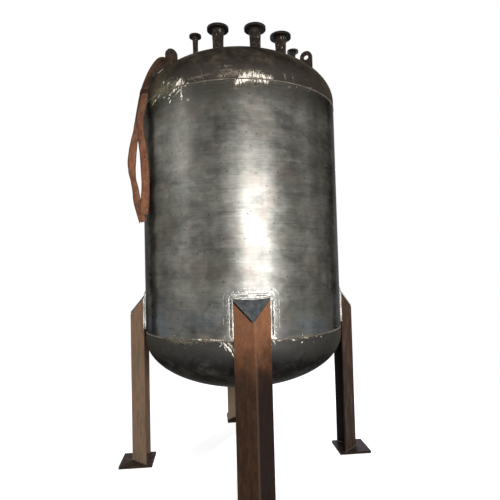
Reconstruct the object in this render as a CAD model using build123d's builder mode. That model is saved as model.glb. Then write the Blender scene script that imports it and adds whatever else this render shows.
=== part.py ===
from build123d import *
from math import cos, pi, radians, sin, sqrt, tan
import os

# Vertical chemical storage tank: a welded shell with dished ends, on four angle legs.
# Millimetres, +Z up, origin on the floor at the tank's axis. One leg points at -Y, the front.

# Shell and dished ends
shell_od = 1362.0
shell_thickness = 6.0
shell_length = 1500.0
shell_bottom = 910.0
head_thickness = 6.0
head_straight = 50.0
head_axis_ratio = 2.0

# Seam welds: the cap of weld metal that stands on the joint
seam_width = 12.0
seam_height = 2.0
long_seam_azimuth = 140.0

# Legs: rolled equal angle, heel outwards, toes on curved pads
leg_count = 4
leg_size = 150.0
leg_thickness = 12.0
leg_root_radius = 16.0
leg_toe_radius = 8.0
leg_above_seam = 235.0
leg_mitre_drop = 115.0
leg_cap_thickness = 8.0
leg_cap_reach = 25.0
pad_width = 250.0
pad_thickness = 8.0
pad_corner_radius = 25.0
pad_above_leg = 25.0
pad_above_seam = 15.0
leg_weld_reach = 9.0

# Base plates: how far the inner edge lies inside the toes, and the anchor hole from that edge
plate_size = 220.0
plate_thickness = 16.0
plate_past_toes = 40.9
anchor_edge = 28.0
anchor_hole = 18.0

# Nozzles on the top end: three large ones and two small ones, all at one level above its crown
nozzle_inset = 272.0
nozzle_standout = 66.5
nozzle_inside = 10.0
large_azimuths = {"left_nozzle": -21.0, "centre_nozzle": 13.0, "right_nozzle": 42.0}
small_azimuths = {"small_left_nozzle": -46.0, "small_right_nozzle": 75.0}
large_pipe_od = 60.3
large_pipe_wall = 3.9
large_flange_od = 140.0
large_flange_thickness = 16.0
large_flange_length = 44.0
large_hub = 74.0
large_face = 90.0
large_bolt_circle = 110.0
large_bolt_hole = 14.0
small_pipe_od = 26.9
small_pipe_wall = 2.6
small_flange_od = 80.0
small_flange_thickness = 12.0
small_flange_length = 34.0
small_hub = 37.0
small_face = 42.0
small_bolt_circle = 56.0
small_bolt_hole = 11.0
raised_face = 2.0
bolts_per_flange = 4
first_bolt_angle = 45.0

# Bottom outlet at the axis, of the same pipe and flange as the large nozzles
outlet_length = 110.0

# Lifting lugs: three radial plates on the top end
lug_inset = 156.0
lug_width = 84.0
lug_thickness = 15.0
lug_eye_height = 66.0
lug_eye = 34.0
lug_root = 70.0
lug_azimuths = {"left_lifting_lug": -60.0, "right_lifting_lug": 60.0, "back_lifting_lug": 180.0}

# Flat webbing sling left in the left lug's eye, each hanging leg a plain tube of its own,
# and the share of a run that each of its bends may take
sling_tube = 16.0
bend_share = 0.45

# Clearance left between parts that are welded together
fit_gap = 0.3

# Sizes that follow from those above
shell_radius = shell_od / 2
shell_inside = shell_radius - shell_thickness
shell_top = shell_bottom + shell_length
head_inside = shell_radius - head_thickness
dome_inner_depth = head_inside / head_axis_ratio
dome_outer_depth = dome_inner_depth + head_thickness
crown_height = shell_top + head_straight + dome_outer_depth
nozzle_face_height = crown_height + nozzle_standout
nozzle_radius = shell_radius - nozzle_inset
lug_radius = shell_radius - lug_inset
pad_seat = shell_radius + fit_gap
pad_radius = pad_seat + pad_thickness
leg_top = shell_bottom + leg_above_seam
leg_half_width = leg_size * sin(radians(45))
large_bore = large_pipe_od - 2 * large_pipe_wall
small_bore = small_pipe_od - 2 * small_pipe_wall

os.makedirs("parts", exist_ok=True)


def save(part, label):
    """Label a finished piece and write it as its own STEP file."""
    part.label = label
    export_step(part, f"parts/{label}.step")


def place(azimuth, radius, height=0.0):
    """A point by its azimuth from the front towards +X, its radius and its height."""
    angle = radians(azimuth)
    return Vector(radius * sin(angle), -radius * cos(angle), height)


def facing_plane(azimuth, radius=0.0):
    """Upright plane that faces outwards at an azimuth, x along the shell and y up."""
    return Plane(origin=place(azimuth, radius), x_dir=place(azimuth + 90, 1), z_dir=place(azimuth, 1))


def radial_plane(azimuth):
    """Upright plane through the axis, x outwards at an azimuth and y up."""
    return Plane(origin=(0, 0, 0), x_dir=place(azimuth, 1), z_dir=place(azimuth - 90, 1))


def floor_plane(azimuth, height):
    """Level plane at a height, its -y towards an azimuth."""
    return Plane(origin=(0, 0, height), x_dir=place(azimuth + 90, 1), z_dir=(0, 0, 1))


def dome_height(radius):
    """Height of the top end's outer surface over its seam, at a radius."""
    return head_straight + dome_outer_depth * sqrt(1 - (radius / shell_radius) ** 2)


def dome_solid(gap):
    """Solid filled out to a gap beyond the top end's outer surface."""
    with BuildPart(mode=Mode.PRIVATE) as dome:
        with BuildSketch(Plane.XZ):
            with BuildLine():
                base = Line((0, shell_top), (shell_radius + gap, shell_top))
                rim = (shell_radius + gap, shell_top + head_straight)
                Line(base @ 1, rim)
                crown = EllipticalCenterArc(
                    (0, shell_top + head_straight), shell_radius + gap, dome_outer_depth + gap, 0, arc_size=90)
                Line(crown @ 1, base @ 0)
            make_face()
        revolve(axis=Axis.Z)
    return dome.part


# Shell
with BuildPart() as shell:
    with BuildSketch(Plane.XY.offset(shell_bottom)):
        Circle(shell_radius)
        Circle(shell_inside, mode=Mode.SUBTRACT)
    extrude(amount=shell_length)
save(shell.part, "shell")


# Dished ends
def dished_end(seam, way, holes):
    """A dished end on a seam, way +1 for the top and -1 for the bottom, with holes for pipes."""
    knuckle = seam + way * head_straight
    turn = way * 90
    with BuildPart() as end:
        with BuildSketch(Plane.XZ):
            with BuildLine():
                EllipticalCenterArc((0, knuckle), shell_radius, dome_outer_depth, 0, arc_size=turn)
                EllipticalCenterArc((0, knuckle), head_inside, dome_inner_depth, 0, arc_size=turn)
                Line((shell_radius, seam), (shell_radius, knuckle))
                Line((head_inside, seam), (head_inside, knuckle))
                Line((shell_radius, seam), (head_inside, seam))
                Line((0, knuckle + way * dome_outer_depth), (0, knuckle + way * dome_inner_depth))
            make_face()
        revolve(axis=Axis.Z)
        for azimuth, radius, diameter in holes:
            with BuildSketch(Plane.XY.offset(seam)):
                with Locations(place(azimuth, radius)):
                    Circle(diameter / 2 + fit_gap)
            extrude(amount=way * (head_straight + dome_outer_depth), mode=Mode.SUBTRACT)
    return end.part


nozzle_holes = [(azimuth, nozzle_radius, large_pipe_od) for azimuth in large_azimuths.values()]
nozzle_holes += [(azimuth, nozzle_radius, small_pipe_od) for azimuth in small_azimuths.values()]
save(dished_end(shell_top, 1, nozzle_holes), "top_head")
save(dished_end(shell_bottom, -1, [(0, 0, large_pipe_od)]), "bottom_head")

# Round seam welds, crowned rings on the joints between shell and ends
for label, seam in (("top_seam_weld", shell_top), ("bottom_seam_weld", shell_bottom)):
    with BuildPart() as weld:
        with BuildSketch(Plane.XZ):
            with BuildLine():
                foot = Line((shell_radius, seam - seam_width / 2), (shell_radius, seam + seam_width / 2))
                ThreePointArc(foot @ 0, (shell_radius + seam_height, seam), foot @ 1)
            make_face()
        revolve(axis=Axis.Z)
    save(weld.part, label)

# Upright seam weld of the rolled shell, between the two round ones
with BuildPart() as long_weld:
    with BuildSketch(floor_plane(long_seam_azimuth, shell_bottom + seam_width / 2)):
        with Locations((0, -shell_radius)):
            Ellipse(seam_width / 2, seam_height)
        Circle(shell_radius, mode=Mode.SUBTRACT)
    extrude(amount=shell_length - seam_width)
save(long_weld.part, "shell_seam_weld")

# Where an angle's toes meet its pad, in the leg's own plan: y outwards, x along the shell
toe_to_arc = leg_thickness - leg_toe_radius
arc_x = leg_half_width - (toe_to_arc + leg_toe_radius) * sin(radians(45))
arc_y_from_toe = (leg_toe_radius - toe_to_arc) * sin(radians(45))
toe_y = sqrt((pad_radius + leg_toe_radius + fit_gap) ** 2 - arc_x ** 2) - arc_y_from_toe
heel_y = toe_y + leg_half_width
plate_inner = toe_y - plate_past_toes
anchor_radius = plate_inner + anchor_edge


def leg_section():
    """Section of a rolled angle in the leg's plan, its heel outwards."""
    with BuildSketch(mode=Mode.PRIVATE) as section:
        with BuildLine():
            Polyline((0, 0), (leg_size, 0), (leg_size, leg_thickness), (leg_thickness, leg_thickness),
                     (leg_thickness, leg_size), (0, leg_size), close=True)
        make_face()
        root = section.vertices().sort_by_distance((leg_thickness, leg_thickness))[0]
        fillet(root, leg_root_radius)
        toes = [section.vertices().sort_by_distance(toe)[0]
                for toe in ((leg_size, leg_thickness), (leg_thickness, leg_size))]
        fillet(toes, leg_toe_radius)
    return section.sketch


# Pads, angle legs, leg caps, leg welds and base plates, one set on each side
mitre_run = heel_y - toe_y
mitre_length = sqrt(mitre_run ** 2 + leg_mitre_drop ** 2)
pad_bottom = shell_bottom + pad_above_seam
pad_height = leg_top + pad_above_leg - pad_bottom
side_names = ("front", "right", "back", "left")

for number, side in enumerate(side_names[:leg_count]):
    azimuth = number * 360 / leg_count
    outwards = place(azimuth, 1)
    slope_normal = Vector(0, 0, mitre_run) + outwards * leg_mitre_drop
    cap_top = Plane(origin=place(azimuth, toe_y, leg_top), x_dir=place(azimuth + 90, 1), z_dir=slope_normal)

    with BuildPart() as pad:
        with BuildSketch(facing_plane(azimuth, shell_radius - pad_width / 2)):
            with Locations((0, pad_bottom + pad_height / 2)):
                RectangleRounded(pad_width, pad_height, pad_corner_radius)
        extrude(amount=pad_width)
        with BuildSketch(Plane.XY.offset(pad_bottom)):
            Circle(pad_radius)
            Circle(pad_seat, mode=Mode.SUBTRACT)
        extrude(amount=pad_height, mode=Mode.INTERSECT)
    save(pad.part, f"{side}_leg_pad")

    with BuildPart() as leg:
        with BuildSketch(floor_plane(azimuth, plate_thickness)):
            with Locations(Location((0, -heel_y, 0), (0, 0, 45))):
                add(leg_section())
        extrude(amount=leg_top)
        split(bisect_by=cap_top.offset(-leg_cap_thickness), keep=Keep.BOTTOM)
    save(leg.part, f"{side}_leg")

    with BuildPart() as cap:
        with BuildSketch(cap_top):
            with BuildLine():
                Polyline((-leg_half_width, leg_cap_reach), (-leg_half_width, 0), (0, -mitre_length),
                         (leg_half_width, 0), (leg_half_width, leg_cap_reach), close=True)
            make_face()
        extrude(amount=-leg_cap_thickness)
        with BuildSketch(Plane.XY.offset(pad_bottom)):
            Circle(pad_radius + fit_gap)
        extrude(amount=pad_height, mode=Mode.SUBTRACT)
    save(cap.part, f"{side}_leg_cap")

    with BuildPart() as toe_weld:
        with BuildSketch(floor_plane(azimuth, pad_bottom)):
            for hand in (-1, 1):
                with BuildLine():
                    Polyline((hand * leg_half_width, -toe_y), (hand * (leg_half_width + leg_weld_reach), -toe_y),
                             (hand * (leg_half_width + leg_weld_reach), -shell_radius + pad_width / 2),
                             (hand * arc_x, -shell_radius + pad_width / 2), (hand * arc_x, -toe_y), close=True)
                make_face()
            Circle(pad_radius + fit_gap / 2, mode=Mode.SUBTRACT)
            with Locations(Location((0, -heel_y, 0), (0, 0, 45))):
                add(leg_section(), mode=Mode.SUBTRACT)
        extrude(amount=leg_top)
        split(bisect_by=cap_top.offset(-leg_cap_thickness), keep=Keep.BOTTOM)
    save(toe_weld.part, f"{side}_leg_weld")

    with BuildPart() as plate:
        with BuildSketch(floor_plane(azimuth, 0)):
            with Locations((0, -plate_inner)):
                Rectangle(plate_size, plate_size, align=(Align.CENTER, Align.MAX))
            with Locations((0, -anchor_radius)):
                Circle(anchor_hole / 2, mode=Mode.SUBTRACT)
        extrude(amount=plate_thickness)
    save(plate.part, f"{side}_base_plate")


# Nozzles and the bottom outlet
def pipe(label, foot, top, centre, pipe_od, bore):
    """A plain pipe stub from its foot to its top."""
    with BuildPart() as stub:
        with BuildSketch(Plane(origin=(centre.X, centre.Y, foot))):
            Circle(pipe_od / 2)
            Circle(bore / 2, mode=Mode.SUBTRACT)
        extrude(amount=top - foot)
    save(stub.part, label)


def neck_flange(label, face, centre, way, outside, thickness, length, hub, face_width,
                pipe_od, bore, bolt_circle, bolt_hole):
    """A weld neck flange, its face up for way +1 and down for -1."""
    plane = Plane(origin=(centre.X, centre.Y, face), x_dir=(1, 0, 0), z_dir=(0, -1, 0))
    neck_start = raised_face + thickness
    with BuildPart() as flange:
        with BuildSketch(plane):
            with BuildLine():
                Polyline((bore / 2, 0), (face_width / 2, 0), (face_width / 2, -way * raised_face),
                         (outside / 2, -way * raised_face), (outside / 2, -way * neck_start),
                         (hub / 2, -way * neck_start), (pipe_od / 2, -way * length),
                         (bore / 2, -way * length), close=True)
            make_face()
        revolve(axis=Axis(origin=(centre.X, centre.Y, 0), direction=(0, 0, 1)))
        with BuildSketch(Plane(origin=(centre.X, centre.Y, face))):
            with PolarLocations(bolt_circle / 2, bolts_per_flange, start_angle=first_bolt_angle):
                Circle(bolt_hole / 2)
        extrude(amount=-way * length, mode=Mode.SUBTRACT)
    save(flange.part, label)


def nozzle(label, azimuth, outside, thickness, length, hub, face_width, pipe_od, bore, bolt_circle, bolt_hole):
    """A nozzle of the top end: its pipe through the end and its flange."""
    centre = place(azimuth, nozzle_radius)
    foot = shell_top + dome_height(nozzle_radius + pipe_od / 2) - head_thickness - nozzle_inside
    pipe(f"{label}_pipe", foot, nozzle_face_height - length, centre, pipe_od, bore)
    neck_flange(f"{label}_flange", nozzle_face_height, centre, 1, outside, thickness, length, hub,
                face_width, pipe_od, bore, bolt_circle, bolt_hole)


for label, azimuth in large_azimuths.items():
    nozzle(label, azimuth, large_flange_od, large_flange_thickness, large_flange_length, large_hub,
           large_face, large_pipe_od, large_bore, large_bolt_circle, large_bolt_hole)
for label, azimuth in small_azimuths.items():
    nozzle(label, azimuth, small_flange_od, small_flange_thickness, small_flange_length, small_hub,
           small_face, small_pipe_od, small_bore, small_bolt_circle, small_bolt_hole)

outlet_apex = shell_bottom - head_straight - dome_outer_depth
outlet_face = outlet_apex - outlet_length
pipe("bottom_outlet_pipe", outlet_face + large_flange_length, outlet_apex + head_thickness, Vector(0, 0, 0),
     large_pipe_od, large_bore)
neck_flange("bottom_outlet_flange", outlet_face, Vector(0, 0, 0), -1, large_flange_od, large_flange_thickness,
            large_flange_length, large_hub, large_face, large_pipe_od, large_bore, large_bolt_circle,
            large_bolt_hole)

# Lifting lugs, their feet cut to the top end's curve
lug_foot = shell_top + dome_height(lug_radius)
eye_level = lug_foot + lug_eye_height
dome_cutter = dome_solid(fit_gap)
print("anchor circle", round(2 * anchor_radius, 3), "nozzle face", nozzle_face_height,
      "eye", round(lug_radius, 3), round(eye_level, 3), "plate inner", round(plate_inner, 3))
for label, azimuth in lug_azimuths.items():
    with BuildPart() as lug:
        with BuildSketch(radial_plane(azimuth)):
            with Locations((lug_radius, eye_level)):
                Circle(lug_width / 2)
                Rectangle(lug_width, lug_eye_height + lug_root, align=(Align.CENTER, Align.MAX))
                Circle(lug_eye / 2, mode=Mode.SUBTRACT)
        extrude(amount=lug_thickness / 2, both=True)
        add(dome_cutter, mode=Mode.SUBTRACT)
    save(lug.part, label)

# Sling: the route of each hanging leg from the eye, as azimuth, radius and height
back_leg_route = [
    (-60.03, 525, 2736), (-64.4, 526.6, 2736), (-66.8, 572, 2722), (-67.6, 628, 2656), (-67.2, 676, 2562),
    (-66.4, 708, 2466), (-66.0, 721, 2362), (-66.1, 735, 2270), (-66.0, 757, 2180), (-65.9, 775, 2090),
    (-66.0, 782, 1990), (-66.1, 774, 1895), (-66.0, 759, 1805), (-65.6, 748, 1725), (-65.0, 728, 1645)]
front_leg_route = [
    (-59.97, 525, 2736), (-55.6, 526.6, 2736), (-54.8, 570, 2724), (-57.6, 622, 2664), (-61.4, 674, 2586),
    (-63.6, 704, 2484), (-64.0, 711, 2380), (-63.8, 718, 2285), (-63.4, 724, 2195), (-63.0, 715, 2110),
    (-62.8, 711, 2015), (-62.8, 707, 1920), (-63.0, 708, 1830), (-63.4, 714, 1745), (-63.6, 716, 1682)]


def route_radii(points):
    """Bend radius at each corner of a route, as large as its two runs allow."""
    radii = []
    for before, corner, after in zip(points, points[1:], points[2:]):
        turn = (corner - before).get_angle(after - corner)
        shorter = min((corner - before).length, (after - corner).length)
        radii.append(bend_share * shorter / tan(radians(turn / 2)))
    return radii


for label, route in (("sling_back_leg", back_leg_route), ("sling_front_leg", front_leg_route)):
    points = [place(*point) for point in route]
    radii = route_radii(points)
    print(label, "bend radii", [round(radius) for radius in radii])
    with BuildPart() as strap:
        with BuildLine() as path:
            FilletPolyline(*points, radius=radii)
        with BuildSketch(Plane(origin=points[0], z_dir=points[1] - points[0])):
            Circle(sling_tube / 2)
        sweep()
    length = sum(edge.length for edge in path.edges())
    by_section = strap.part.volume / (pi * sling_tube ** 2 / 4)
    print(label, "length", round(length), "volume over section", round(by_section))
    save(strap.part, label)
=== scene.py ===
"""Looks of the upright chemical storage tank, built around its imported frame.

The tank is a rolled shell with two pressed ends on four angle legs. Its nozzles, lugs and a
webbing sling stand on the top end. Every finish is procedural, in the row's own frame:
metres, +Z up, the front leg towards -Y.
"""

import logging
import math
import random
from dataclasses import dataclass, field
from enum import Enum
from functools import partial
from typing import Callable, Optional, Union

import bpy
from mathutils import Matrix, Vector, noise


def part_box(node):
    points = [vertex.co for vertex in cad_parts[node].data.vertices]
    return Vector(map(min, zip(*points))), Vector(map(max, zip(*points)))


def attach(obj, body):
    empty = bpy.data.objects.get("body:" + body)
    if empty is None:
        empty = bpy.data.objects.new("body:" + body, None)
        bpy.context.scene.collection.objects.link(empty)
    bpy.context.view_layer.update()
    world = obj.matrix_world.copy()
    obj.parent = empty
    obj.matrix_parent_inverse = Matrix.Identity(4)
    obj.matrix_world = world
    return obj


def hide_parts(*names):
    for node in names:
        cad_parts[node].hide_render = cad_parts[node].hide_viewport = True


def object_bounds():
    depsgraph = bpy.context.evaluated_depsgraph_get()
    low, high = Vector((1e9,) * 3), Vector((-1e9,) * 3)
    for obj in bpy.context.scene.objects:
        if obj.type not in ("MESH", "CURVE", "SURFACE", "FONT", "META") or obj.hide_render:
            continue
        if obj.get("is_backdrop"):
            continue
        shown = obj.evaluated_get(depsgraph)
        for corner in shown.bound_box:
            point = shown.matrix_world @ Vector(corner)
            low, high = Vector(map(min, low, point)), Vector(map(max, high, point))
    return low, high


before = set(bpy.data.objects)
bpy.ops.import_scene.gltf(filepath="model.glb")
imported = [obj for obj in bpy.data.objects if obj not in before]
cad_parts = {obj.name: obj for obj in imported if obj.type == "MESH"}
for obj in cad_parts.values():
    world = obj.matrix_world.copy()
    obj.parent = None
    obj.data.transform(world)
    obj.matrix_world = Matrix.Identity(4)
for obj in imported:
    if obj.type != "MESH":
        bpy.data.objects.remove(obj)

LOG = logging.getLogger("storage_tank")
MM = 0.001

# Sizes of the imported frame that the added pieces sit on, in metres
SHELL_RADIUS = 0.681
LOWER_SEAM = 0.910
UPPER_SEAM = 2.410
HEAD_STRAIGHT = 0.050
HEAD_DEPTH = 0.3435
PAD_RADIUS = 0.6893
PAD_LOW = 0.925
PAD_HIGH = 1.170
PAD_HALF_WIDTH = 0.125
PAD_CORNER = 0.025
LEG_HALF_WIDTH = 0.10607
LEG_THICKNESS = 0.012
TOE_Y = 0.68791
HEEL_Y = TOE_Y + LEG_HALF_WIDTH
LEG_TOP = 1.145
CAP_SLOPE = 0.115 / LEG_HALF_WIDTH
PLATE_THICKNESS = 0.016
NOZZLE_RADIUS = 0.409
NOZZLE_FACE = 2.870
LUG_RADIUS = 0.525
LUG_HALF_THICKNESS = 0.0075
LUG_HALF_WIDTH = 0.042
OUTLET_FACE = 0.4065

# How often a welder's hand drifts and jolts, in each metre of bead
DRIFTS_PER_METRE = 55.0
JOLTS_PER_METRE = 190.0

# Seed of that waver, without which the clock would lay the beads differently at each run
WAVER_SEED = 7

# Azimuths in degrees from the front towards +X
SIDES = {"front": 0.0, "right": 90.0, "back": 180.0, "left": 270.0}
LARGE_NOZZLES = {"left_nozzle": -21.0, "centre_nozzle": 13.0, "right_nozzle": 42.0}
SMALL_NOZZLES = {"small_left_nozzle": -46.0, "small_right_nozzle": 75.0}
LUGS = {"left_lifting_lug": -60.0, "right_lifting_lug": 60.0, "back_lifting_lug": 180.0}

# What a node's socket takes: another node's output, a number, a hex colour or a vector
Input = Union[bpy.types.NodeSocket, float, str, tuple]
Socket = bpy.types.NodeSocket

# Setting of a Map Range node that eases both ends of its range
SOFT = {"interpolation_type": "SMOOTHSTEP"}


def place(azimuth: float, radius: float, height: float) -> Vector:
    """Return a point by its azimuth from the front towards +X, its radius and its height.

    Args:
        azimuth: Degrees from -Y towards +X.
        radius: Distance from the tank's axis, in metres.
        height: Height over the floor, in metres.

    Returns:
        The point in the row's frame.
    """
    angle = math.radians(azimuth)
    return Vector((radius * math.sin(angle), -radius * math.cos(angle), height))


def on_top_head(x: float, y: float) -> Vector:
    """Return the point of the top end's outer surface over a place in plan.

    Args:
        x: Metres towards +X.
        y: Metres towards +Y.

    Returns:
        The point.
    """
    share = min(1.0, math.hypot(x, y) / SHELL_RADIUS)
    rise = HEAD_DEPTH * math.sqrt(1.0 - share * share)
    return Vector((x, y, UPPER_SEAM + HEAD_STRAIGHT + rise))


def walk(corners: list[tuple[float, float]], spacing: float,
         closed: bool = False) -> list[tuple[float, float]]:
    """Return flat points along the straight runs between corners.

    Args:
        corners: Ends of the runs.
        spacing: About how far apart the points lie, in metres.
        closed: Whether the last corner runs back to the first.

    Returns:
        The points, each corner among them.
    """
    ends = corners[1:] + corners[:1] if closed else corners[1:]
    points = []
    for (x0, y0), (x1, y1) in zip(corners, ends):
        parts = max(1, int(math.hypot(x1 - x0, y1 - y0) / spacing))
        points += [(x0 + (x1 - x0) * k / parts, y0 + (y1 - y0) * k / parts)
                   for k in range(parts)]
    return points if closed else [*points, corners[-1]]


def linear(colour: str) -> tuple[float, float, float, float]:
    """Turn an sRGB hex colour such as "#5a5a52" into linear RGBA.

    Args:
        colour: The hex string.

    Returns:
        Four linear numbers, the last one 1.
    """
    values = []
    for start in (1, 3, 5):
        share = int(colour[start:start + 2], 16) / 255.0
        values.append(share / 12.92 if share <= 0.04045 else ((share + 0.055) / 1.055) ** 2.4)
    return (values[0], values[1], values[2], 1.0)


def add_node(tree: bpy.types.NodeTree, kind: str, *values: Input, at: Optional[dict] = None,
             out: Union[int, str] = 0, **settings: object) -> Optional[Socket]:
    """Add a node with its settings, its values and its links.

    Args:
        tree: Node tree that gets the node.
        kind: The node's type, without "ShaderNode".
        values: For its first sockets, numbers, hex colours or other nodes' outputs.
        at: The same for other sockets, by name or number.
        out: Which of its outputs to return, by name or number.
        settings: Attributes to set; ramp takes (position, hex colour) pairs.

    Returns:
        The output, or None where the node has none.
    """
    node = tree.nodes.new(f"ShaderNode{kind}")
    for name, value in settings.items():
        if name == "ramp":
            stops = node.color_ramp.elements
            while len(stops) < len(value):
                stops.new(0.5)
            for stop, (position, colour) in zip(stops, value):
                stop.position = position
                stop.color = linear(colour)
        else:
            setattr(node, name, value)
    for name, value in [*enumerate(values), *(at or {}).items()]:
        socket = node.inputs[name]
        if isinstance(value, bpy.types.NodeSocket):
            tree.links.new(value, socket)
        else:
            socket.default_value = linear(value) if isinstance(value, str) else value
    return node.outputs[out] if node.outputs else None


def make_active(obj: bpy.types.Object) -> None:
    """Select one object alone and make it the active one.

    Args:
        obj: The object.
    """
    bpy.ops.object.select_all(action="DESELECT")
    obj.select_set(True)
    bpy.context.view_layer.objects.active = obj


def added(operator: Callable, name: str, **settings: object) -> bpy.types.Object:
    """Add an object with an operator, nothing else selected, and name it.

    Args:
        operator: The operator that adds it.
        name: Its name.
        settings: What the operator is given.

    Returns:
        The new object.
    """
    bpy.ops.object.select_all(action="DESELECT")
    operator(**settings)
    bpy.context.object.name = name
    return bpy.context.object


def apply_modifier(obj: bpy.types.Object, kind: str, **settings: object) -> None:
    """Add a modifier to a mesh and apply it.

    Args:
        obj: The mesh object.
        kind: The modifier's type.
        settings: Its attributes.
    """
    modifier = obj.modifiers.new(kind.lower(), kind)
    for name, value in settings.items():
        setattr(modifier, name, value)
    make_active(obj)
    bpy.ops.object.modifier_apply(modifier=modifier.name)


def face_outwards(obj: bpy.types.Object, merge: float = 0.0) -> None:
    """Turn a mesh's faces outwards.

    Args:
        obj: The mesh object.
        merge: Corners closer than this are merged first, in metres.
    """
    make_active(obj)
    bpy.ops.object.mode_set(mode="EDIT")
    bpy.ops.mesh.select_all(action="SELECT")
    if merge:
        bpy.ops.mesh.remove_doubles(threshold=merge)
    bpy.ops.mesh.normals_make_consistent(inside=False)
    bpy.ops.object.mode_set(mode="OBJECT")


def draw_route(name: str, points: list[Vector], closed: bool = False,
               smooth: bool = False) -> bpy.types.Object:
    """Add a curve over points, for a bead or a strap to follow.

    Args:
        name: Name of the piece that follows it.
        points: Points that it passes, or bends between where it is smooth.
        closed: Whether it joins its own start.
        smooth: Whether it is a spline instead of straight runs.

    Returns:
        The curve's object.
    """
    data = bpy.data.curves.new(f"{name}_route", "CURVE")
    data.dimensions = "3D"
    data.twist_mode = "Z_UP"
    data.resolution_u = 14
    spline = data.splines.new("NURBS" if smooth else "POLY")
    spline.points.add(len(points) - 1)
    for knot, point in zip(spline.points, points):
        knot.co = (*point, 1.0)
    spline.use_cyclic_u = closed
    if smooth:
        spline.order_u = 3
        spline.use_endpoint_u = True
    obj = bpy.data.objects.new(data.name, data)
    bpy.context.collection.objects.link(obj)
    return obj


def set_material(obj: bpy.types.Object, material: bpy.types.Material) -> None:
    """Give an object one material in its only slot.

    Args:
        obj: The mesh object.
        material: Its finish.
    """
    if obj.material_slots:
        for held in obj.material_slots:
            held.link = "DATA"
            held.material = material
    else:
        obj.data.materials.append(material)


def finish_piece(obj: bpy.types.Object, material: bpy.types.Material) -> None:
    """Dress a new piece and let it ride on the tank.

    Args:
        obj: The finished mesh object.
        material: Its finish.
    """
    set_material(obj, material)
    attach(obj, "root")
    LOG.info("%s: %d faces", obj.name, len(obj.data.polygons))


class Tint(Enum):
    """What a grinder or a flame left on the plate."""

    BRIGHT = "bright"
    STRAW = "straw"
    RUST = "rust"


@dataclass(frozen=True)
class GrindMark:
    """One mark on the tank's wall, as an ellipse round its azimuth and height.

    Attributes:
        azimuth: Degrees from the front.
        height: Metres over the floor.
        along: Length along the wall, in millimetres.
        up: Length across it, in millimetres.
        turn: Degrees that it is turned from level.
    """

    azimuth: float
    height: float
    along: float
    up: float
    turn: float = 0.0

    def reaches(self, low: float, high: float) -> bool:
        """Return whether the mark, with its torn edge, touches the wall between two heights.

        Args:
            low: The lower height, in metres.
            high: The upper one.

        Returns:
            True where it does.
        """
        lean = math.radians(self.turn)
        tall = MM * (self.up * abs(math.cos(lean)) + self.along * abs(math.sin(lean)))
        return low < self.height + tall and self.height - tall < high


# Marks of each tint, each with the numbers of a GrindMark, placed by the photograph where it
# shows them
MARKS: dict[Tint, tuple[tuple[float, ...], ...]] = {
    Tint.BRIGHT: (
        (-33.7, 2.423, 46, 40, 30), (-35.4, 2.434, 66, 16, 38), (-38.4, 2.392, 88, 12, 24),
        (-33.6, 2.366, 13, 60, 4), (-36.0, 2.376, 60, 6, 34), (-42.0, 2.358, 18, 11, 20),
        (-46.0, 2.375, 16, 10), (-40.9, 2.337, 22, 10, 50), (-45.4, 2.470, 22, 13, 35),
        (-42.0, 2.450, 20, 13, 20), (-53.5, 2.382, 34, 9, 30), (-50.0, 2.398, 40, 6, 28),
        (-56.0, 2.371, 30, 6, 36), (-29.6, 2.318, 14, 12), (-30.4, 2.410, 46, 8, 30),
        (-12.4, 2.430, 34, 12), (-3.4, 2.396, 60, 40, 20), (-1.0, 2.414, 74, 54, 20),
        (3.6, 2.424, 120, 52), (9.0, 2.426, 110, 30, -5), (8.0, 2.400, 80, 26, -5),
        (-26.8, 0.917, 60, 12), (-21.5, 0.919, 60, 8), (-16.6, 0.918, 130, 6),
        (-13.2, 0.893, 56, 9, -52), (-12.0, 0.879, 64, 8, -56), (-10.7, 0.864, 60, 7, -60),
        (-9.8, 0.842, 60, 5, -66), (-14.2, 0.897, 40, 5, -30), (-12.9, 0.868, 44, 5, -58),
        (-11.4, 0.897, 40, 5, -44), (-10.4, 0.890, 52, 9, -60), (-15.2, 0.887, 34, 3, 40),
        (-9.4, 0.872, 50, 5, -76), (10.3, 0.948, 18, 60), (11.0, 0.922, 70, 11, -38),
        (12.2, 0.912, 60, 9, -14), (10.2, 0.904, 40, 10, -62), (20.6, 0.899, 46, 9, -16),
        (25.6, 0.878, 16, 7, 30), (28.4, 0.902, 30, 5, -10), (35.6, 0.903, 16, 7),
        (39.2, 0.894, 14, 6), (128.0, 2.405, 90, 30, 4), (-140.0, 2.420, 120, 40, 6),
        (98.0, 0.905, 110, 30), (79.0, 0.900, 60, 14, 30), (-101.0, 0.905, 90, 28),
        (170.0, 0.900, 110, 24, -10), (140.6, 1.020, 30, 120),
    ),
    Tint.STRAW: (
        (-48.0, 2.420, 240, 90, 8), (-37.0, 2.430, 150, 60, 8), (-56.0, 2.394, 130, 54, 14),
        (3.0, 2.446, 150, 34), (22.5, 2.385, 26, 16), (-38.0, 0.906, 280, 40),
        (26.0, 0.912, 260, 26), (60.0, 2.412, 60, 12, 4), (150.0, 2.425, 130, 44),
        (-128.0, 2.395, 70, 16, 20), (-160.0, 0.915, 120, 30), (140.0, 1.650, 26, 260),
    ),
    Tint.RUST: (
        (-24.0, 2.440, 150, 18, 4), (-57.4, 2.366, 30, 16, 30), (-7.5, 2.440, 130, 46, 3),
        (-9.6, 2.462, 90, 16, 3), (-9.0, 2.486, 70, 16), (2.0, 2.404, 170, 60),
        (-5.3, 2.352, 40, 13, 8), (-22.0, 2.722, 60, 12, 20), (20.3, 2.446, 18, 36),
        (25.0, 2.446, 12, 32, 12), (-23.4, 0.930, 80, 62),
    ),
}


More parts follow.
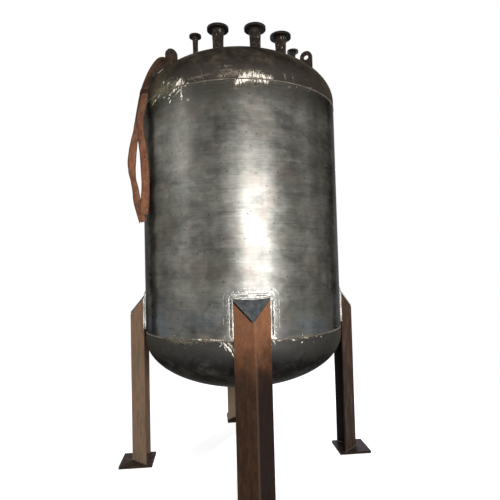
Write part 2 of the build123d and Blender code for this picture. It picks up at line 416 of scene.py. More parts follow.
class Surface:
    """One material in the making, with the tank's own coordinates in its node tree.

    Attributes:
        material: The material.
        add: Adds a node to its tree.
        point: The point in the row's frame.
        angle: Its azimuth from the front, in radians.
        height: Its height over the floor, in metres.
        wall: Its place along and up the shell's wall, in metres.
    """

    def __init__(self, name: str) -> None:
        """Start a material of that name.

        Args:
            name: Name of the material.
        """
        self.material = bpy.data.materials.new(name)
        self.material.use_nodes = True
        self.material.node_tree.nodes.clear()
        self.add = partial(add_node, self.material.node_tree)
        self.point = self.add("TexCoord", out="Object")
        x, y, self.height = self.add("SeparateXYZ", self.point).node.outputs
        back = self.add("Math", y, -1.0, operation="MULTIPLY")
        self.angle = self.add("Math", x, back, operation="ARCTAN2")
        arc = self.add("Math", self.angle, SHELL_RADIUS, operation="MULTIPLY")
        self.wall = self.add("CombineXYZ", arc, self.height)

    def finished(self, colour: Input, roughness: Input, bump: dict, metal: float = 0.0,
                 **sockets: Input) -> bpy.types.Material:
        """Add the shader and return the finished material.

        Args:
            colour: Base colour.
            roughness: Roughness.
            bump: Strength, Distance in metres and Height of the surface's grain.
            metal: Share of it that is bare metal.
            sockets: The shader's other sockets, with _ for a space.

        Returns:
            The material.
        """
        shader = self.add("BsdfPrincipled", at={
            "Base Color": colour, "Roughness": roughness, "Metallic": metal,
            "Normal": self.add("Bump", at=bump),
            **{name.replace("_", " "): value for name, value in sockets.items()}})
        self.add("OutputMaterial", shader)
        return self.material

    def cloud(self, size_mm: float, detail: float = 3.0, stretch: tuple = (1, 1, 1),
              shift: float = 0.0, rough: float = 0.55) -> Socket:
        """Return a noise value whose blotches have a real size.

        Args:
            size_mm: Width of a blotch, in millimetres.
            detail: Octaves of finer noise.
            stretch: How many times longer than size_mm a blotch is along each axis.
            shift: Moves the pattern to another part of the noise.
            rough: How strong the finer octaves are.

        Returns:
            The noise value, about 0.5 on average.
        """
        seat = self.add("Mapping", self.point, at={
            "Location": (shift, shift * 0.7, shift * 1.3),
            "Scale": [1.0 / (size_mm * MM * part) for part in stretch]})
        return self.add("TexNoise", seat, noise_dimensions="3D",
                        at={"Scale": 1.0, "Detail": detail, "Roughness": rough})

    def blotches(self, low: float, high: float, *cloud: object) -> Socket:
        """Return a mask of a cloud's blotches, from none at one value to all at another.

        Args:
            low: Value of the cloud where the mask is 0.
            high: Value where it is 1.
            cloud: Size, detail, stretch, shift and roughness of the cloud.

        Returns:
            A value from 0 to 1.
        """
        return self.add("MapRange", self.cloud(*cloud), low, high, **SOFT)

    def weighed(self, *parts: tuple[Input, float]) -> Socket:
        """Return the sum of several values, each times its own weight.

        Args:
            parts: Pairs of a value and its weight.

        Returns:
            The sum.
        """
        total = None
        for value, weight in parts:
            part = self.add("Math", value, weight, operation="MULTIPLY")
            total = part if total is None else self.add("Math", total, part, operation="ADD")
        return total

    def coats(self, colour: Input, *layers: tuple) -> Socket:
        """Lay tones over a colour, one after another.

        Args:
            colour: The colour underneath.
            layers: Tone, strength and one mask or more of each coat.

        Returns:
            The coated colour.
        """
        for tone, strength, *masks in layers:
            share, *others = masks if strength == 1.0 else (*masks, strength)
            for other in others:
                share = self.add("Math", share, other, operation="MULTIPLY")
            colour = self.add("Mix", share, at={6: colour, 7: tone}, out=2, data_type="RGBA")
        return colour

    def away_from(self, value: Input, middle: float) -> Socket:
        """Return how far a value lies from a middle one, either way."""
        off = self.add("Math", value, middle, operation="SUBTRACT")
        return self.add("Math", off, operation="ABSOLUTE")

    def ellipse(self, azimuth: float, height: float, along_mm: float, up_mm: float,
                turn: float = 0.0) -> tuple[Socket, Socket]:
        """Return places on the wall in the units of an ellipse, and how far out they are.

        Args:
            azimuth: Azimuth of its middle, in degrees.
            height: Height of its middle, in metres.
            along_mm: Half its length along the wall.
            up_mm: Half its length up the wall.
            turn: Degrees that it is turned from level.

        Returns:
            The place as a vector, and its length, which is 1 on the ellipse.
        """
        seat = self.add("Mapping", self.wall, vector_type="TEXTURE", at={
            "Location": (math.radians(azimuth) * SHELL_RADIUS, height, 0.0),
            "Rotation": (0.0, 0.0, math.radians(turn)),
            "Scale": (along_mm * MM, up_mm * MM, 1.0)})
        return seat, self.add("VectorMath", seat, out="Value", operation="LENGTH")

    def leg_angle(self) -> Socket:
        """Return the angle from the nearest leg's middle, in radians."""
        return self.add("Math", self.angle, math.radians(45), math.radians(-45),
                        operation="WRAP")

    def pad_reach(self) -> Socket:
        """Return the distance from the nearest leg pad's core, PAD_CORNER at the pad's edge.

        Returns:
            The distance, in metres.
        """
        along = self.add("Math", self.leg_angle(), SHELL_RADIUS, operation="MULTIPLY")
        along = self.add("Math", along, operation="ABSOLUTE")
        up = self.away_from(self.height, (PAD_LOW + PAD_HIGH) / 2)
        past = None
        for value, core in ((along, PAD_HALF_WIDTH - PAD_CORNER),
                            (up, (PAD_HIGH - PAD_LOW) / 2 - PAD_CORNER)):
            over = self.add("Math", value, core, operation="SUBTRACT")
            over = self.add("Math", over, 0.0, operation="MAXIMUM")
            square = self.add("Math", over, over, operation="MULTIPLY")
            past = square if past is None else self.add("Math", past, square,
                                                        operation="ADD")
        return self.add("Math", past, operation="SQRT")

    def torn(self, field: Input, grain: Input, pull: float, soft: float) -> Socket:
        """Return a mask whose edge is torn by a grain, from a field that is 0 at the edge.

        Args:
            field: How far inside a place is.
            grain: Noise of about 0.5 that tears the edge.
            pull: How much the grain counts against the field.
            soft: Width of the edge.

        Returns:
            A value from 0 to 1.
        """
        half = self.add("Math", field, 0.5, operation="MULTIPLY")
        bite = self.add("Math", grain, pull, -0.5 * pull, operation="MULTIPLY_ADD")
        value = self.add("Math", half, bite, operation="ADD")
        return self.add("MapRange", value, 0.04, 0.04 + soft, **SOFT)

    def inside_marks(self, tint: Tint, low: float, high: float) -> Input:
        """Return how far inside the marks of one tint a place is: 1 in a middle, 0 at an edge.

        Args:
            tint: Which of the marks to gather.
            low: Height of the piece's lower edge.
            high: Height of its upper edge, as the shader can't hold the whole tank's marks.

        Returns:
            A value that falls below 0 outside all of them.
        """
        gathered: Input = -1.0
        for mark in (GrindMark(*row) for row in MARKS[tint]):
            if mark.reaches(low, high):
                _, reach = self.ellipse(mark.azimuth, mark.height, mark.along / 2,
                                        mark.up / 2, mark.turn)
                inside = self.add("Math", 1.0, reach, operation="SUBTRACT")
                gathered = self.add("Math", gathered, inside, operation="MAXIMUM")
        return gathered

    def ground_marks(self, colour: Input, low: float, high: float) -> tuple[Socket, Socket]:
        """Lay the heat tints and the bright ground strokes over a colour.

        Grinding grit leaves lines about 0.2 mm apart. Its torn edges are drawn 4 to 6 mm
        coarse, because finer ones would not show in the render.

        Args:
            colour: The wall's own colour.
            low: Height of the piece's lower edge.
            high: Height of its upper edge.

        Returns:
            The marked colour and the mask of bright metal.
        """
        flecks = self.cloud(5.0, 3.0, (3.0, 3.0, 1), 2.2, 0.7)
        tear = self.weighed((self.cloud(6.0, 2.0, (1, 1, 4), 4.9, 0.6), 0.6),
                            (self.cloud(4.5, 2.0, (1, 1, 1), 7.3), 0.4))
        straw = self.torn(self.inside_marks(Tint.STRAW, low, high), flecks, 3.0, 0.40)
        rust = self.torn(self.inside_marks(Tint.RUST, low, high), flecks, 3.4, 0.34)
        bright = self.torn(self.inside_marks(Tint.BRIGHT, low, high), tear, 2.6, 0.14)
        dull = self.blotches(0.60, 0.44, 12.0, 2.0, (1, 1, 3), 6.4, 0.6)
        metal = self.coats("#726a5d", ("#e0d8ca", 1.0, dull))
        return self.coats(colour, ("#858066", 0.55, straw), ("#85796a", 0.50, rust),
                          (metal, 1.0, bright)), bright


@dataclass(frozen=True)
class MillScalePlate:
    """Hot rolled carbon steel with mill scale: dark, patchy, with level rolling streaks.

    The scale makes broad soft patches and is blue low down, and a painted brown shade darkens it
    just under the upper seam. Rolling streaks, scratches and scores are a few tenths of a
    millimetre wide and pits about 1 mm.
    They are drawn 3 to 12 mm wide, because finer ones would not show in the render.

    Attributes:
        brushed: How far the streaks draw out the gloss along the wall.
        shade_stripes: Painted shade in darker upright stripes, where darker surroundings would
            reflect at the tank's sides, repeated round the tank: azimuth, half width in degrees,
            depth.
    """

    name: str = "hot rolled plate with mill scale"
    dark: str = "#403f3c"
    middle: str = "#61605b"
    light: str = "#828079"
    metal: float = 0.96
    roughness: float = 0.36
    brushed: float = 0.22
    shade_stripes: tuple[tuple[float, float, float], ...] = (
        (-76.0, 7.0, 0.70), (-59.5, 6.0, 0.66), (54.5, 6.5, 0.50), (45.0, 17.0, 0.36),
        (104.0, 12.0, 0.40), (128.0, 7.0, 0.55), (-112.0, 18.0, 0.45), (-148.0, 7.0, 0.50),
        (171.0, 9.0, 0.50))

    def build(self) -> bpy.types.Material:
        """Return the shell's material.

        Returns:
            The finished material.
        """
        s = Surface(self.name)
        patches = s.cloud(340.0, 3.0, (1, 1, 1.3), 6.3)
        blots = s.cloud(95.0, 5.0, (1.5, 1.5, 1), 2.2, 0.58)
        grain = s.cloud(20.0, 4.0, (2.2, 2.2, 1), 3.8, 0.68)
        upright = s.cloud(75.0, 2.0, (1, 1, 26), 2.7)
        streaks = s.cloud(12.0, 4.0, (18, 18, 1), 0.4, 0.65)
        tone = s.weighed((patches, 0.40), (blots, 0.40), (grain, 0.18), (upright, 0.14),
                         (streaks, 0.16))
        colour = s.add("ValToRGB", tone, ramp=(
            (0.50, self.dark), (0.64, self.middle), (0.79, self.light)))
        wavy = s.add("Math", blots, 0.10, -0.05, operation="MULTIPLY_ADD")
        level = s.add("Math", s.height, wavy, operation="ADD")
        stain = s.cloud(150.0, 4.0, (1, 1, 0.8), 11.3, 0.5)
        places = s.cloud(230.0, 2.0, (1, 1, 1), 12.1)
        colour = s.coats(
            colour,
            ("#5c636a", 0.60, s.add("MapRange", s.height, 1.24, 0.98, **SOFT),
             s.blotches(0.34, 0.62, 150.0, 4.0, (1.6, 1.6, 0.7), 4.4)),
            ("#55564a", 0.38, s.blotches(0.38, 0.68, 210.0, 3.0, (1, 1, 1.5), 8.3)),
            ("#685d56", 0.40, s.blotches(0.42, 0.70, 150.0, 3.0, (1, 1, 1), 6.6)),
            # painted shade: darker just under the upper seam
            ("#37342f", 0.74, s.add("MapRange", level, 2.24, 2.38, **SOFT)),
            # painted shade: darker upright stripes where darker surroundings would reflect
            ("#33322f", 1.0, self.painted_shade_stripes(s, blots)),
            ("#24241f", 0.20, s.add("MapRange", stain, 0.52, 0.58, **SOFT),
             s.add("MapRange", stain, 0.70, 0.58, **SOFT)),
            ("#1f1e1b", 0.70, s.blotches(0.68, 0.74, 9.0, 2.0, (1, 1, 1.2), 7.9),
             s.add("MapRange", blots, 0.38, 0.54, **SOFT)),
            ("#8d8a80", 0.40, s.blotches(0.68, 0.76, 3.2, 1.0, (46, 46, 1), 9.1),
             s.add("MapRange", places, 0.48, 0.60, **SOFT)),
            ("#2c2b28", 0.42, s.blotches(0.62, 0.72, 3.6, 1.0, (60, 60, 1), 13.7),
             s.add("MapRange", places, 0.56, 0.40, **SOFT)),
            ("#191816", 0.80, *self.pits(s)))
        colour, bright = s.ground_marks(colour, LOWER_SEAM, UPPER_SEAM)
        zone = self.pad_zone(s)
        colour = s.coats(colour, ("#e9e4da", 1.0, zone))

        gloss = s.add("Math", blots, 0.12, self.roughness - 0.06, operation="MULTIPLY_ADD")
        fine = s.add("Math", grain, 0.12, -0.06, operation="MULTIPLY_ADD")
        gloss = s.add("Math", gloss, fine, operation="ADD")
        bare = s.add("Math", bright, zone, operation="MAXIMUM")
        gloss = s.add("Math", bare, 0.06, gloss, operation="MULTIPLY_ADD", use_clamp=True)
        relief = {"Strength": 0.16, "Distance": 0.0012,
                  "Height": s.weighed((streaks, 0.25), (grain, 0.75))}
        return s.finished(
            colour, gloss, relief, self.metal, Anisotropic=self.brushed,
            Tangent=s.add("Tangent", direction_type="RADIAL", axis="Z"),
            Anisotropic_Rotation=0.25, Specular_IOR_Level=0.25, Specular_Tint="#8e8e90")

    @staticmethod
    def pits(s: Surface) -> tuple[Socket, Socket]:
        """Return the masks of small pits where scale came off.

        Args:
            s: The material in the making.

        Returns:
            A mask of dots, and a mask of the few that are kept.
        """
        seats = s.add("TexVoronoi", s.wall, at={"Scale": 1.0 / (75.0 * MM)},
                      voronoi_dimensions="2D").node.outputs
        return (s.add("MapRange", seats["Distance"], 0.070, 0.035, **SOFT),
                s.add("MapRange", seats["Color"], 0.62, 0.68, **SOFT))

    def painted_shade_stripes(self, s: Surface, blots: Input) -> Socket:
        """Return a mask of the painted shade in darker upright stripes.

        Args:
            s: The material in the making.
            blots: Noise that makes their edges wavy.

        Returns:
            The mask.
        """
        gathered: Input = 0.0
        sway = s.add("Math", blots, 0.08, -0.04, operation="MULTIPLY_ADD")
        for azimuth, width, depth in self.shade_stripes:
            off = s.add("Math", s.away_from(s.angle, math.radians(azimuth)), sway,
                        operation="ADD")
            band = s.add("MapRange", off, math.radians(width), math.radians(width * 0.25),
                         **SOFT)
            part = s.add("Math", band, depth, operation="MULTIPLY")
            gathered = s.add("Math", gathered, part, operation="MAXIMUM")
        return gathered

    @staticmethod
    def pad_zone(s: Surface) -> Socket:
        """Return a mask of the ground strip, its faint haze that is partly a painted highlight,
        and the scribed line round each leg's pad.

        Args:
            s: The material in the making.

        Returns:
            The mask.
        """
        reach = s.pad_reach()
        scuffs = s.cloud(7.0, 3.0, (1, 1, 1), 1.9, 0.65)
        inside = s.add("Math", PAD_CORNER + 0.016, reach, operation="SUBTRACT")
        inside = s.add("Math", inside, 30.0, operation="MULTIPLY")
        strip = s.torn(inside, scuffs, 2.2, 0.30)
        # faint light haze round the pad: partly grinding haze, partly a painted highlight
        ground_haze_and_highlight = s.add("MapRange", reach, PAD_CORNER + 0.130, PAD_CORNER + 0.010, **SOFT)
        ground_haze_and_highlight = s.add("Math", ground_haze_and_highlight, s.blotches(0.34, 0.62, 60.0, 4.0, (1, 1, 1), 5.3),
                     operation="MULTIPLY")
        ground_haze_and_highlight = s.add("Math", ground_haze_and_highlight, 0.10, operation="MULTIPLY")
        strip = s.add("Math", strip, ground_haze_and_highlight, operation="MAXIMUM")
        strip = s.add("Math", strip, 0.48, operation="MULTIPLY")
        sway = s.add("Math", scuffs, 0.006, -0.003, operation="MULTIPLY_ADD")
        off = s.away_from(s.add("Math", reach, sway, operation="ADD"), PAD_CORNER + 0.036)
        line = s.add("Math", s.add("MapRange", off, 0.0036, 0.0010, **SOFT),
                     s.blotches(0.44, 0.58, 34.0, 3.0, (1, 1, 1), 2.9), operation="MULTIPLY")
        line = s.add("Math", line, 0.26, operation="MULTIPLY")
        return s.add("Math", strip, line, operation="MAXIMUM")


@dataclass(frozen=True)
class PressedEnd:
    """Hot pressed carbon steel end: near-black brown scale, dull, with a few fine scratches.

    The scratches are tenths of a millimetre wide and are drawn about 3 mm wide, because
    finer ones would not show in the render.

    Attributes:
        seam_tone: Tone of the plate that the seam's heat changed.
        span: Heights between which the end lies, in metres.
        arcs: Arcs that a lifting chain left: azimuth, height, radius in millimetres, start.
    """

    name: str
    dark: str
    middle: str
    light: str
    seam_tone: str
    span: tuple[float, float]
    arcs: tuple[tuple[float, float, float, float], ...] = ()
    metal: float = 0.86
    roughness: float = 0.56

    def build(self) -> bpy.types.Material:
        """Return the material of a dished end.

        Returns:
            The finished material.
        """
        s = Surface(self.name)
        patches = s.cloud(190.0, 4.0, (1, 1, 1), 2.3)
        blots = s.cloud(42.0, 5.0, (1, 1, 1), 8.8, 0.66)
        colour = s.add("ValToRGB", s.weighed((patches, 0.55), (blots, 0.45)), ramp=(
            (0.40, self.dark), (0.52, self.middle), (0.63, self.light)))
        away = s.add("Math", s.away_from(s.height, LOWER_SEAM),
                     s.away_from(s.height, UPPER_SEAM), operation="MINIMUM")
        sway = s.add("Math", patches, 0.20, -0.10, operation="MULTIPLY_ADD")
        away = s.add("Math", away, sway, operation="ADD")
        near = s.add("MapRange", away, 0.17, 0.02, **SOFT)
        colour = s.coats(
            colour, (self.seam_tone, 0.75, near),
            (self.dark, 0.5, near, s.add("MapRange", blots, 0.54, 0.66, **SOFT)),
            ("#7d786e", 0.30, s.blotches(0.68, 0.75, 3.0, 1.0, (40, 14, 1), 5.7),
             s.add("MapRange", patches, 0.46, 0.60, **SOFT)))
        if self.arcs:
            colour = s.coats(colour, ("#a19c92", 0.34, self.scratches(s)))
        colour, bright = s.ground_marks(colour, *self.span)

        gloss = s.add("Math", blots, 0.24, self.roughness - 0.12, operation="MULTIPLY_ADD")
        gloss = s.add("Math", bright, -0.16, gloss, operation="MULTIPLY_ADD", use_clamp=True)
        relief = {"Strength": 0.25, "Distance": 0.001,
                  "Height": s.cloud(9.0, 4.0, (1, 1, 1), 1.1)}
        return s.finished(colour, gloss, relief, self.metal,
                          Specular_IOR_Level=0.15, Specular_Tint="#aaa699")

    def scratches(self, s: Surface) -> Socket:
        """Return a mask of the long arcs, each a part of a ring.

        Args:
            s: The material in the making.

        Returns:
            The mask.
        """
        gathered: Input = 0.0
        for azimuth, height, radius, start in self.arcs:
            seat, reach = s.ellipse(azimuth, height, radius, radius * 0.9)
            side = s.add("SeparateXYZ", seat)
            ring_mask = s.add("MapRange", s.away_from(reach, 1.0), 0.026, 0.006, **SOFT)
            part = s.add("MapRange", side, start + 0.45, start + 0.90, **SOFT)
            part = s.add("Math", ring_mask, part, operation="MULTIPLY")
            gathered = s.add("Math", gathered, part, operation="MAXIMUM")
        return gathered


@dataclass(frozen=True)
class WeldMetal:
    """Weld bead of mild steel: straw to grey heat tints over rippled metal, bright where ground.

    The grain is finer than 1 mm and is drawn 7 mm wide, so that a bead shows light and dark.

    Attributes:
        shine: Share of the bead that is bright.
    """

    name: str
    dull: str
    straw: str
    bright: str
    shine: float
    metal: float
    roughness: float

    def build(self) -> bpy.types.Material:
        """Return the material of a bead.

        Returns:
            The finished material.
        """
        s = Surface(self.name)
        grain = s.cloud(7.0, 3.0, (1, 1, 1), 6.2)
        tone = s.weighed((s.cloud(70.0, 3.0, (1, 1, 1), 3.4), 0.7), (grain, 0.3))
        colour = s.add("ValToRGB", tone, ramp=(
            (0.34, self.dull), (0.50, self.straw),
            (0.50 + 0.36 * (1.0 - self.shine), self.bright)))
        gloss = s.add("Math", grain, 0.24, self.roughness - 0.12, operation="MULTIPLY_ADD",
                      use_clamp=True)
        relief = {"Strength": 0.3, "Distance": 0.0006, "Height": grain}
        return s.finished(colour, gloss, relief, self.metal)


@dataclass(frozen=True)
class RustedSection:
    """Rolled angle with a thin even coat of rust, and painted shade that darkens it towards the
    floor and blackens it inside.

    Grains of rust are under 1 mm. They are drawn 4 to 9 mm wide, because finer ones would
    not show in the render.

    Attributes:
        high: Tone of the upper part.
        low: Tone of the lower part, which is painted shade.
        spot: Tone of the rust blots.
        inner: How strongly the faces towards the tank take inner_shading_tone, a painted shade,
            and on the back leg a painted light.
        right_flange_shade: How strongly the right flange takes right_shade_tone, a painted
            shade, at the foot.
        scaled: Strength of the dark scale.
        olive: Strength of the olive and pink streaks.
        fade_top: Height where the upper tone is full, in metres.
        fade_foot: Height where the lower tone, the painted shade, is full.
    """

    name: str
    high: str
    low: str
    spot: str
    inner: float
    inner_shading_tone: str = "#15110e"
    right_flange_shade: float = 0.0
    right_shade_tone: str = "#3a2a22"
    scaled: float = 0.30
    olive: float = 0.12
    fade_top: float = 1.06
    fade_foot: float = 0.45
    roughness: float = 0.80

    def build(self) -> bpy.types.Material:
        """Return the material of one leg.

        Returns:
            The finished material.
        """
        s = Surface(self.name)
        sway = s.add("Math", s.cloud(90.0, 3.0, (1, 1, 1), 2.0), 0.24, -0.12,
                     operation="MULTIPLY_ADD")
        level = s.add("Math", s.height, sway, operation="ADD")
        fade = s.add("MapRange", level, self.fade_foot, self.fade_top, **SOFT)
        blots = s.cloud(48.0, 5.0, (1, 1, 1.3), 4.1, 0.62)
        specks = s.cloud(9.0, 4.0, (1, 1, 1.2), 7.3, 0.7)
        inner, right, joint, heel = self.places(s)
        colour = s.coats(
            self.low,
            # painted shade: the upper tone fades to the lower one towards the floor; blots and
            # light specks follow it
            (self.high, 1.0, fade),
            (self.spot, 0.55, s.add("MapRange", blots, 0.46, 0.66, **SOFT),
             s.add("MapRange", fade, -0.3, 1.0, **SOFT)),
            (self.low, 0.34, s.add("MapRange", specks, 0.50, 0.64, **SOFT)),
            ("#a98b6c", 0.22, s.add("MapRange", specks, 0.42, 0.30, **SOFT),
             s.add("Math", fade, 0.7, 0.3, operation="MULTIPLY_ADD")),
            ("#3a322c", self.scaled, s.blotches(0.56, 0.66, 70.0, 4.0, (1, 1, 2.0), 9.4)),
            ("#64604a", self.olive, s.blotches(0.46, 0.60, 30.0, 4.0, (1, 1, 4), 10.7)),
            ("#96705e", self.olive, s.blotches(0.52, 0.64, 24.0, 4.0, (1, 1, 5), 14.2)))
        # painted shade: the right flange is darkened, most towards the floor
        shade = s.add("Math", fade, -self.right_flange_shade, self.right_flange_shade,
                      operation="MULTIPLY_ADD")
        shade = s.add("Math", right, shade, operation="MULTIPLY")
        colour = s.add("Mix", shade, at={6: colour, 7: self.right_shade_tone}, out=2,
                       data_type="RGBA", blend_type="MULTIPLY")
        # rubbed heel with a painted highlight; painted shade on faces towards the tank, painted
        # light on the back leg
        colour = s.coats(colour, ("#9c7a64", 0.13, *heel), (self.inner_shading_tone, self.inner, inner),
                         # painted shadow: black line in the open joint under the cap
                         ("#0b0a09", 1.0, *joint))
        gloss = s.add("Math", blots, 0.24, self.roughness - 0.12, operation="MULTIPLY_ADD",
                      use_clamp=True)
        relief = {"Strength": 0.30, "Distance": 0.0008,
                  "Height": s.cloud(4.5, 4.0, (1, 1, 1), 5.5)}
        return s.finished(colour, gloss, relief, Specular_IOR_Level=0.12)

    @staticmethod
    def places(s: Surface) -> tuple[Socket, Socket, tuple, tuple]:
        """Return masks of a leg's places, in the leg's own plan.

        Args:
            s: The material in the making.

        Returns:
            Masks of the faces that look back at the tank, for painted shade and on the back leg
            painted light, and of the flange on the right, for painted shade, and pairs of masks
            of the painted shadow in the open joint between the left flange and the cap and of
            the heel, rubbed and with a painted highlight.
        """
        facing = s.add("NewGeometry", out="True Normal")
        spread = s.add("VectorMath", s.point, (1.0, 1.0, 0.0), operation="MULTIPLY")
        outwards = s.add("VectorMath", spread, operation="NORMALIZE")
        turned = s.add("VectorMath", facing, outwards, out="Value", operation="DOT_PRODUCT")
        radius = s.add("VectorMath", spread, out="Value", operation="LENGTH")
        quarter = s.leg_angle()
        side = s.add("Math", radius, s.add("Math", quarter, operation="SINE"),
                     operation="MULTIPLY")
        reach = s.add("Math", radius, s.add("Math", quarter, operation="COSINE"),
                      operation="MULTIPLY")
        past_toes = s.add("Math", reach, TOE_Y, operation="SUBTRACT")
        roof = s.add("Math", past_toes, -CAP_SLOPE, LEG_TOP, operation="MULTIPLY_ADD")
        drop = s.add("Math", roof, s.height, operation="SUBTRACT")
        masks = [s.add("MapRange", value, low, high, **SOFT) for value, low, high in (
            (turned, -0.30, -0.50), (side, -0.0015, 0.0015), (drop, 0.0205, 0.0185),
            (side, -0.004, -0.010), (side, -0.002, 0.004), (side, 0.020, 0.008))]
        return masks[0], masks[1], (masks[2], masks[3]), (masks[4], masks[5])


@dataclass(frozen=True)
class MottledSkin:
    """Mottled skin with rubbed spots: oxide on cut plate and forgings, grease on webbing.

    Its grain is finer than 1 mm and is drawn 6 mm wide, because it would not show otherwise.
    On the nozzle necks its tall rubbed spots are painted glints.

    Attributes:
        rub_and_glint_tone: Tone of the rubbed spots, which on the nozzle necks are painted
            glints.
        rubbed: Their strength.
        blotch_mm: Width of a dark or light patch.
        rub_and_glint_stretch: How many times taller than wide a rubbed spot is; the necks' tall
            ones are painted glints.
        cut_edge: Tone of a sheared upright edge, none if empty.
        gap_shade: Whether painted shade darkens the gaps along a leg pad's bead.
    """

    name: str
    dark: str
    middle: str
    light: str
    rub_and_glint_tone: str
    rubbed: float
    metal: float
    roughness: float
    blotch_mm: float = 38.0
    rub_and_glint_stretch: float = 1.0
    cut_edge: str = ""
    gap_shade: bool = False

    def build(self) -> bpy.types.Material:
        """Return the material of a small plate, flange or band.

        Returns:
            The finished material.
        """
        s = Surface(self.name)
        grain = s.cloud(6.0, 3.0, (1, 1, 1), 4.6)
        tone = s.weighed((s.cloud(self.blotch_mm, 4.0, (1, 1, 1), 1.7, 0.6), 0.75),
                         (grain, 0.25))
        colour = s.add("ValToRGB", tone, ramp=(
            (0.38, self.dark), (0.52, self.middle), (0.68, self.light)))
        colour = s.coats(colour, (self.rub_and_glint_tone, self.rubbed, s.blotches(
            0.64, 0.70, 11.0, 2.0, (1, 1, self.rub_and_glint_stretch), 8.2)))
        if self.cut_edge:
            facing = s.add("NewGeometry", out="True Normal")
            level = s.add("SeparateXYZ", facing, out="Z")
            colour = s.coats(colour, (
                self.cut_edge, 1.0, s.add("MapRange", level, 0.40, 0.20, **SOFT),
                s.add("MapRange", s.leg_angle(), 0.0, -0.003, **SOFT)))
        if self.gap_shade:
            # painted shade in the gaps along the pad's bead
            off = s.away_from(s.pad_reach(), PAD_CORNER - 0.0065)
            colour = s.coats(colour, (
                "#171513", 0.9, s.add("MapRange", off, 0.0040, 0.0022, **SOFT),
                s.blotches(0.62, 0.48, 30.0, 3.0, (1, 1, 1), 3.3)))
        gloss = s.add("Math", grain, 0.22, self.roughness - 0.11, operation="MULTIPLY_ADD",
                      use_clamp=True)
        relief = {"Strength": 0.25, "Distance": 0.0006, "Height": grain}
        return s.finished(colour, gloss, relief, self.metal,
                          Specular_IOR_Level=0.25, Specular_Tint="#9a9a9a")


@dataclass(frozen=True)
class Webbing:
    """Woven polyester webbing, dirty terracotta, with the ribs and warp lines of its weave.

    The ribs of real webbing lie about 1.5 mm apart. They are drawn 5 mm apart, because finer
    ones would not show in the render.

    Attributes:
        fold_shading: Whether its upper part has a painted shadow across one half and a painted
            highlight along the other, as of a ply seen from its shaded inner face.
        warp_lines: Warp lines across its width.
    """

    name: str = "dirty polyester webbing"
    low: str = "#553628"
    middle: str = "#774e38"
    high: str = "#996c4f"
    fold_shading: bool = False
    rib_mm: float = 5.0
    warp_lines: float = 9.0

    def build(self) -> bpy.types.Material:
        """Return the sling's material, laid along the strap by its own UV map.

        Returns:
            The finished material.
        """
        s = Surface(self.name)
        across, along, _ = s.add("SeparateXYZ", s.add("UVMap", uv_map="strap")).node.outputs
        waves = []
        for value, turns in ((along, 1.0 / (self.rib_mm * MM)), (across, self.warp_lines)):
            swing = s.add("Math", value, math.tau * turns, operation="MULTIPLY")
            waves.append(s.add("Math", swing, operation="SINE"))
        weave = s.add("Math", s.add("Math", *waves, operation="MULTIPLY"), 0.5, 0.5,
                      operation="MULTIPLY_ADD")
        tone = s.weighed((s.cloud(60.0, 4.0, (1, 1, 1), 2.4, 0.62), 0.6),
                         (s.cloud(4.0, 2.0, (1, 1, 16), 3.3), 0.4))
        colour = s.add("ValToRGB", tone, ramp=(
            (0.36, self.low), (0.50, self.middle), (0.66, self.high)))
        edge = s.add("Math", across, 2.0, -1.0, operation="MULTIPLY_ADD")
        edge = s.add("Math", edge, operation="ABSOLUTE")
        colour = s.coats(
            colour,
            ("#87503c", 0.5, s.blotches(0.56, 0.68, 34.0, 2.0, (1, 1, 2.5), 8.1)),
            ("#4d3022", 0.22, weave),
            ("#40341f", 0.75, s.add("MapRange", edge, 0.74, 0.92, **SOFT)),
            ("#2f2018", 0.8, s.blotches(0.66, 0.74, 16.0, 3.0, (1, 1, 1), 9.9)),
            ("#b08a66", 0.6, s.blotches(0.62, 0.70, 8.0, 3.0, (1, 1, 1), 6.7)),
            # painted shade: darker towards the strap's end at the eye
            ("#33261b", 0.86, s.add("MapRange", along, 0.86, 0.02, **SOFT)))
        if self.fold_shading:
            # painted shadow on one half of the upper ply and a painted highlight along its other
            # edge
            upper = (s.add("MapRange", along, 0.03, 0.10, **SOFT),
                     s.add("MapRange", along, 0.36, 0.27, **SOFT))
            colour = s.coats(
                colour,
                ("#21170d", 0.85, *upper, s.add("MapRange", across, 0.34, 0.44, **SOFT)),
                ("#6f634f", 0.55, *upper, s.add("MapRange", across, 0.36, 0.26, **SOFT)))
        relief = {"Strength": 0.5, "Distance": 0.0010, "Height": weave}
        return s.finished(colour, 0.9, relief, Specular_IOR_Level=0.15, Sheen_Weight=0.04)


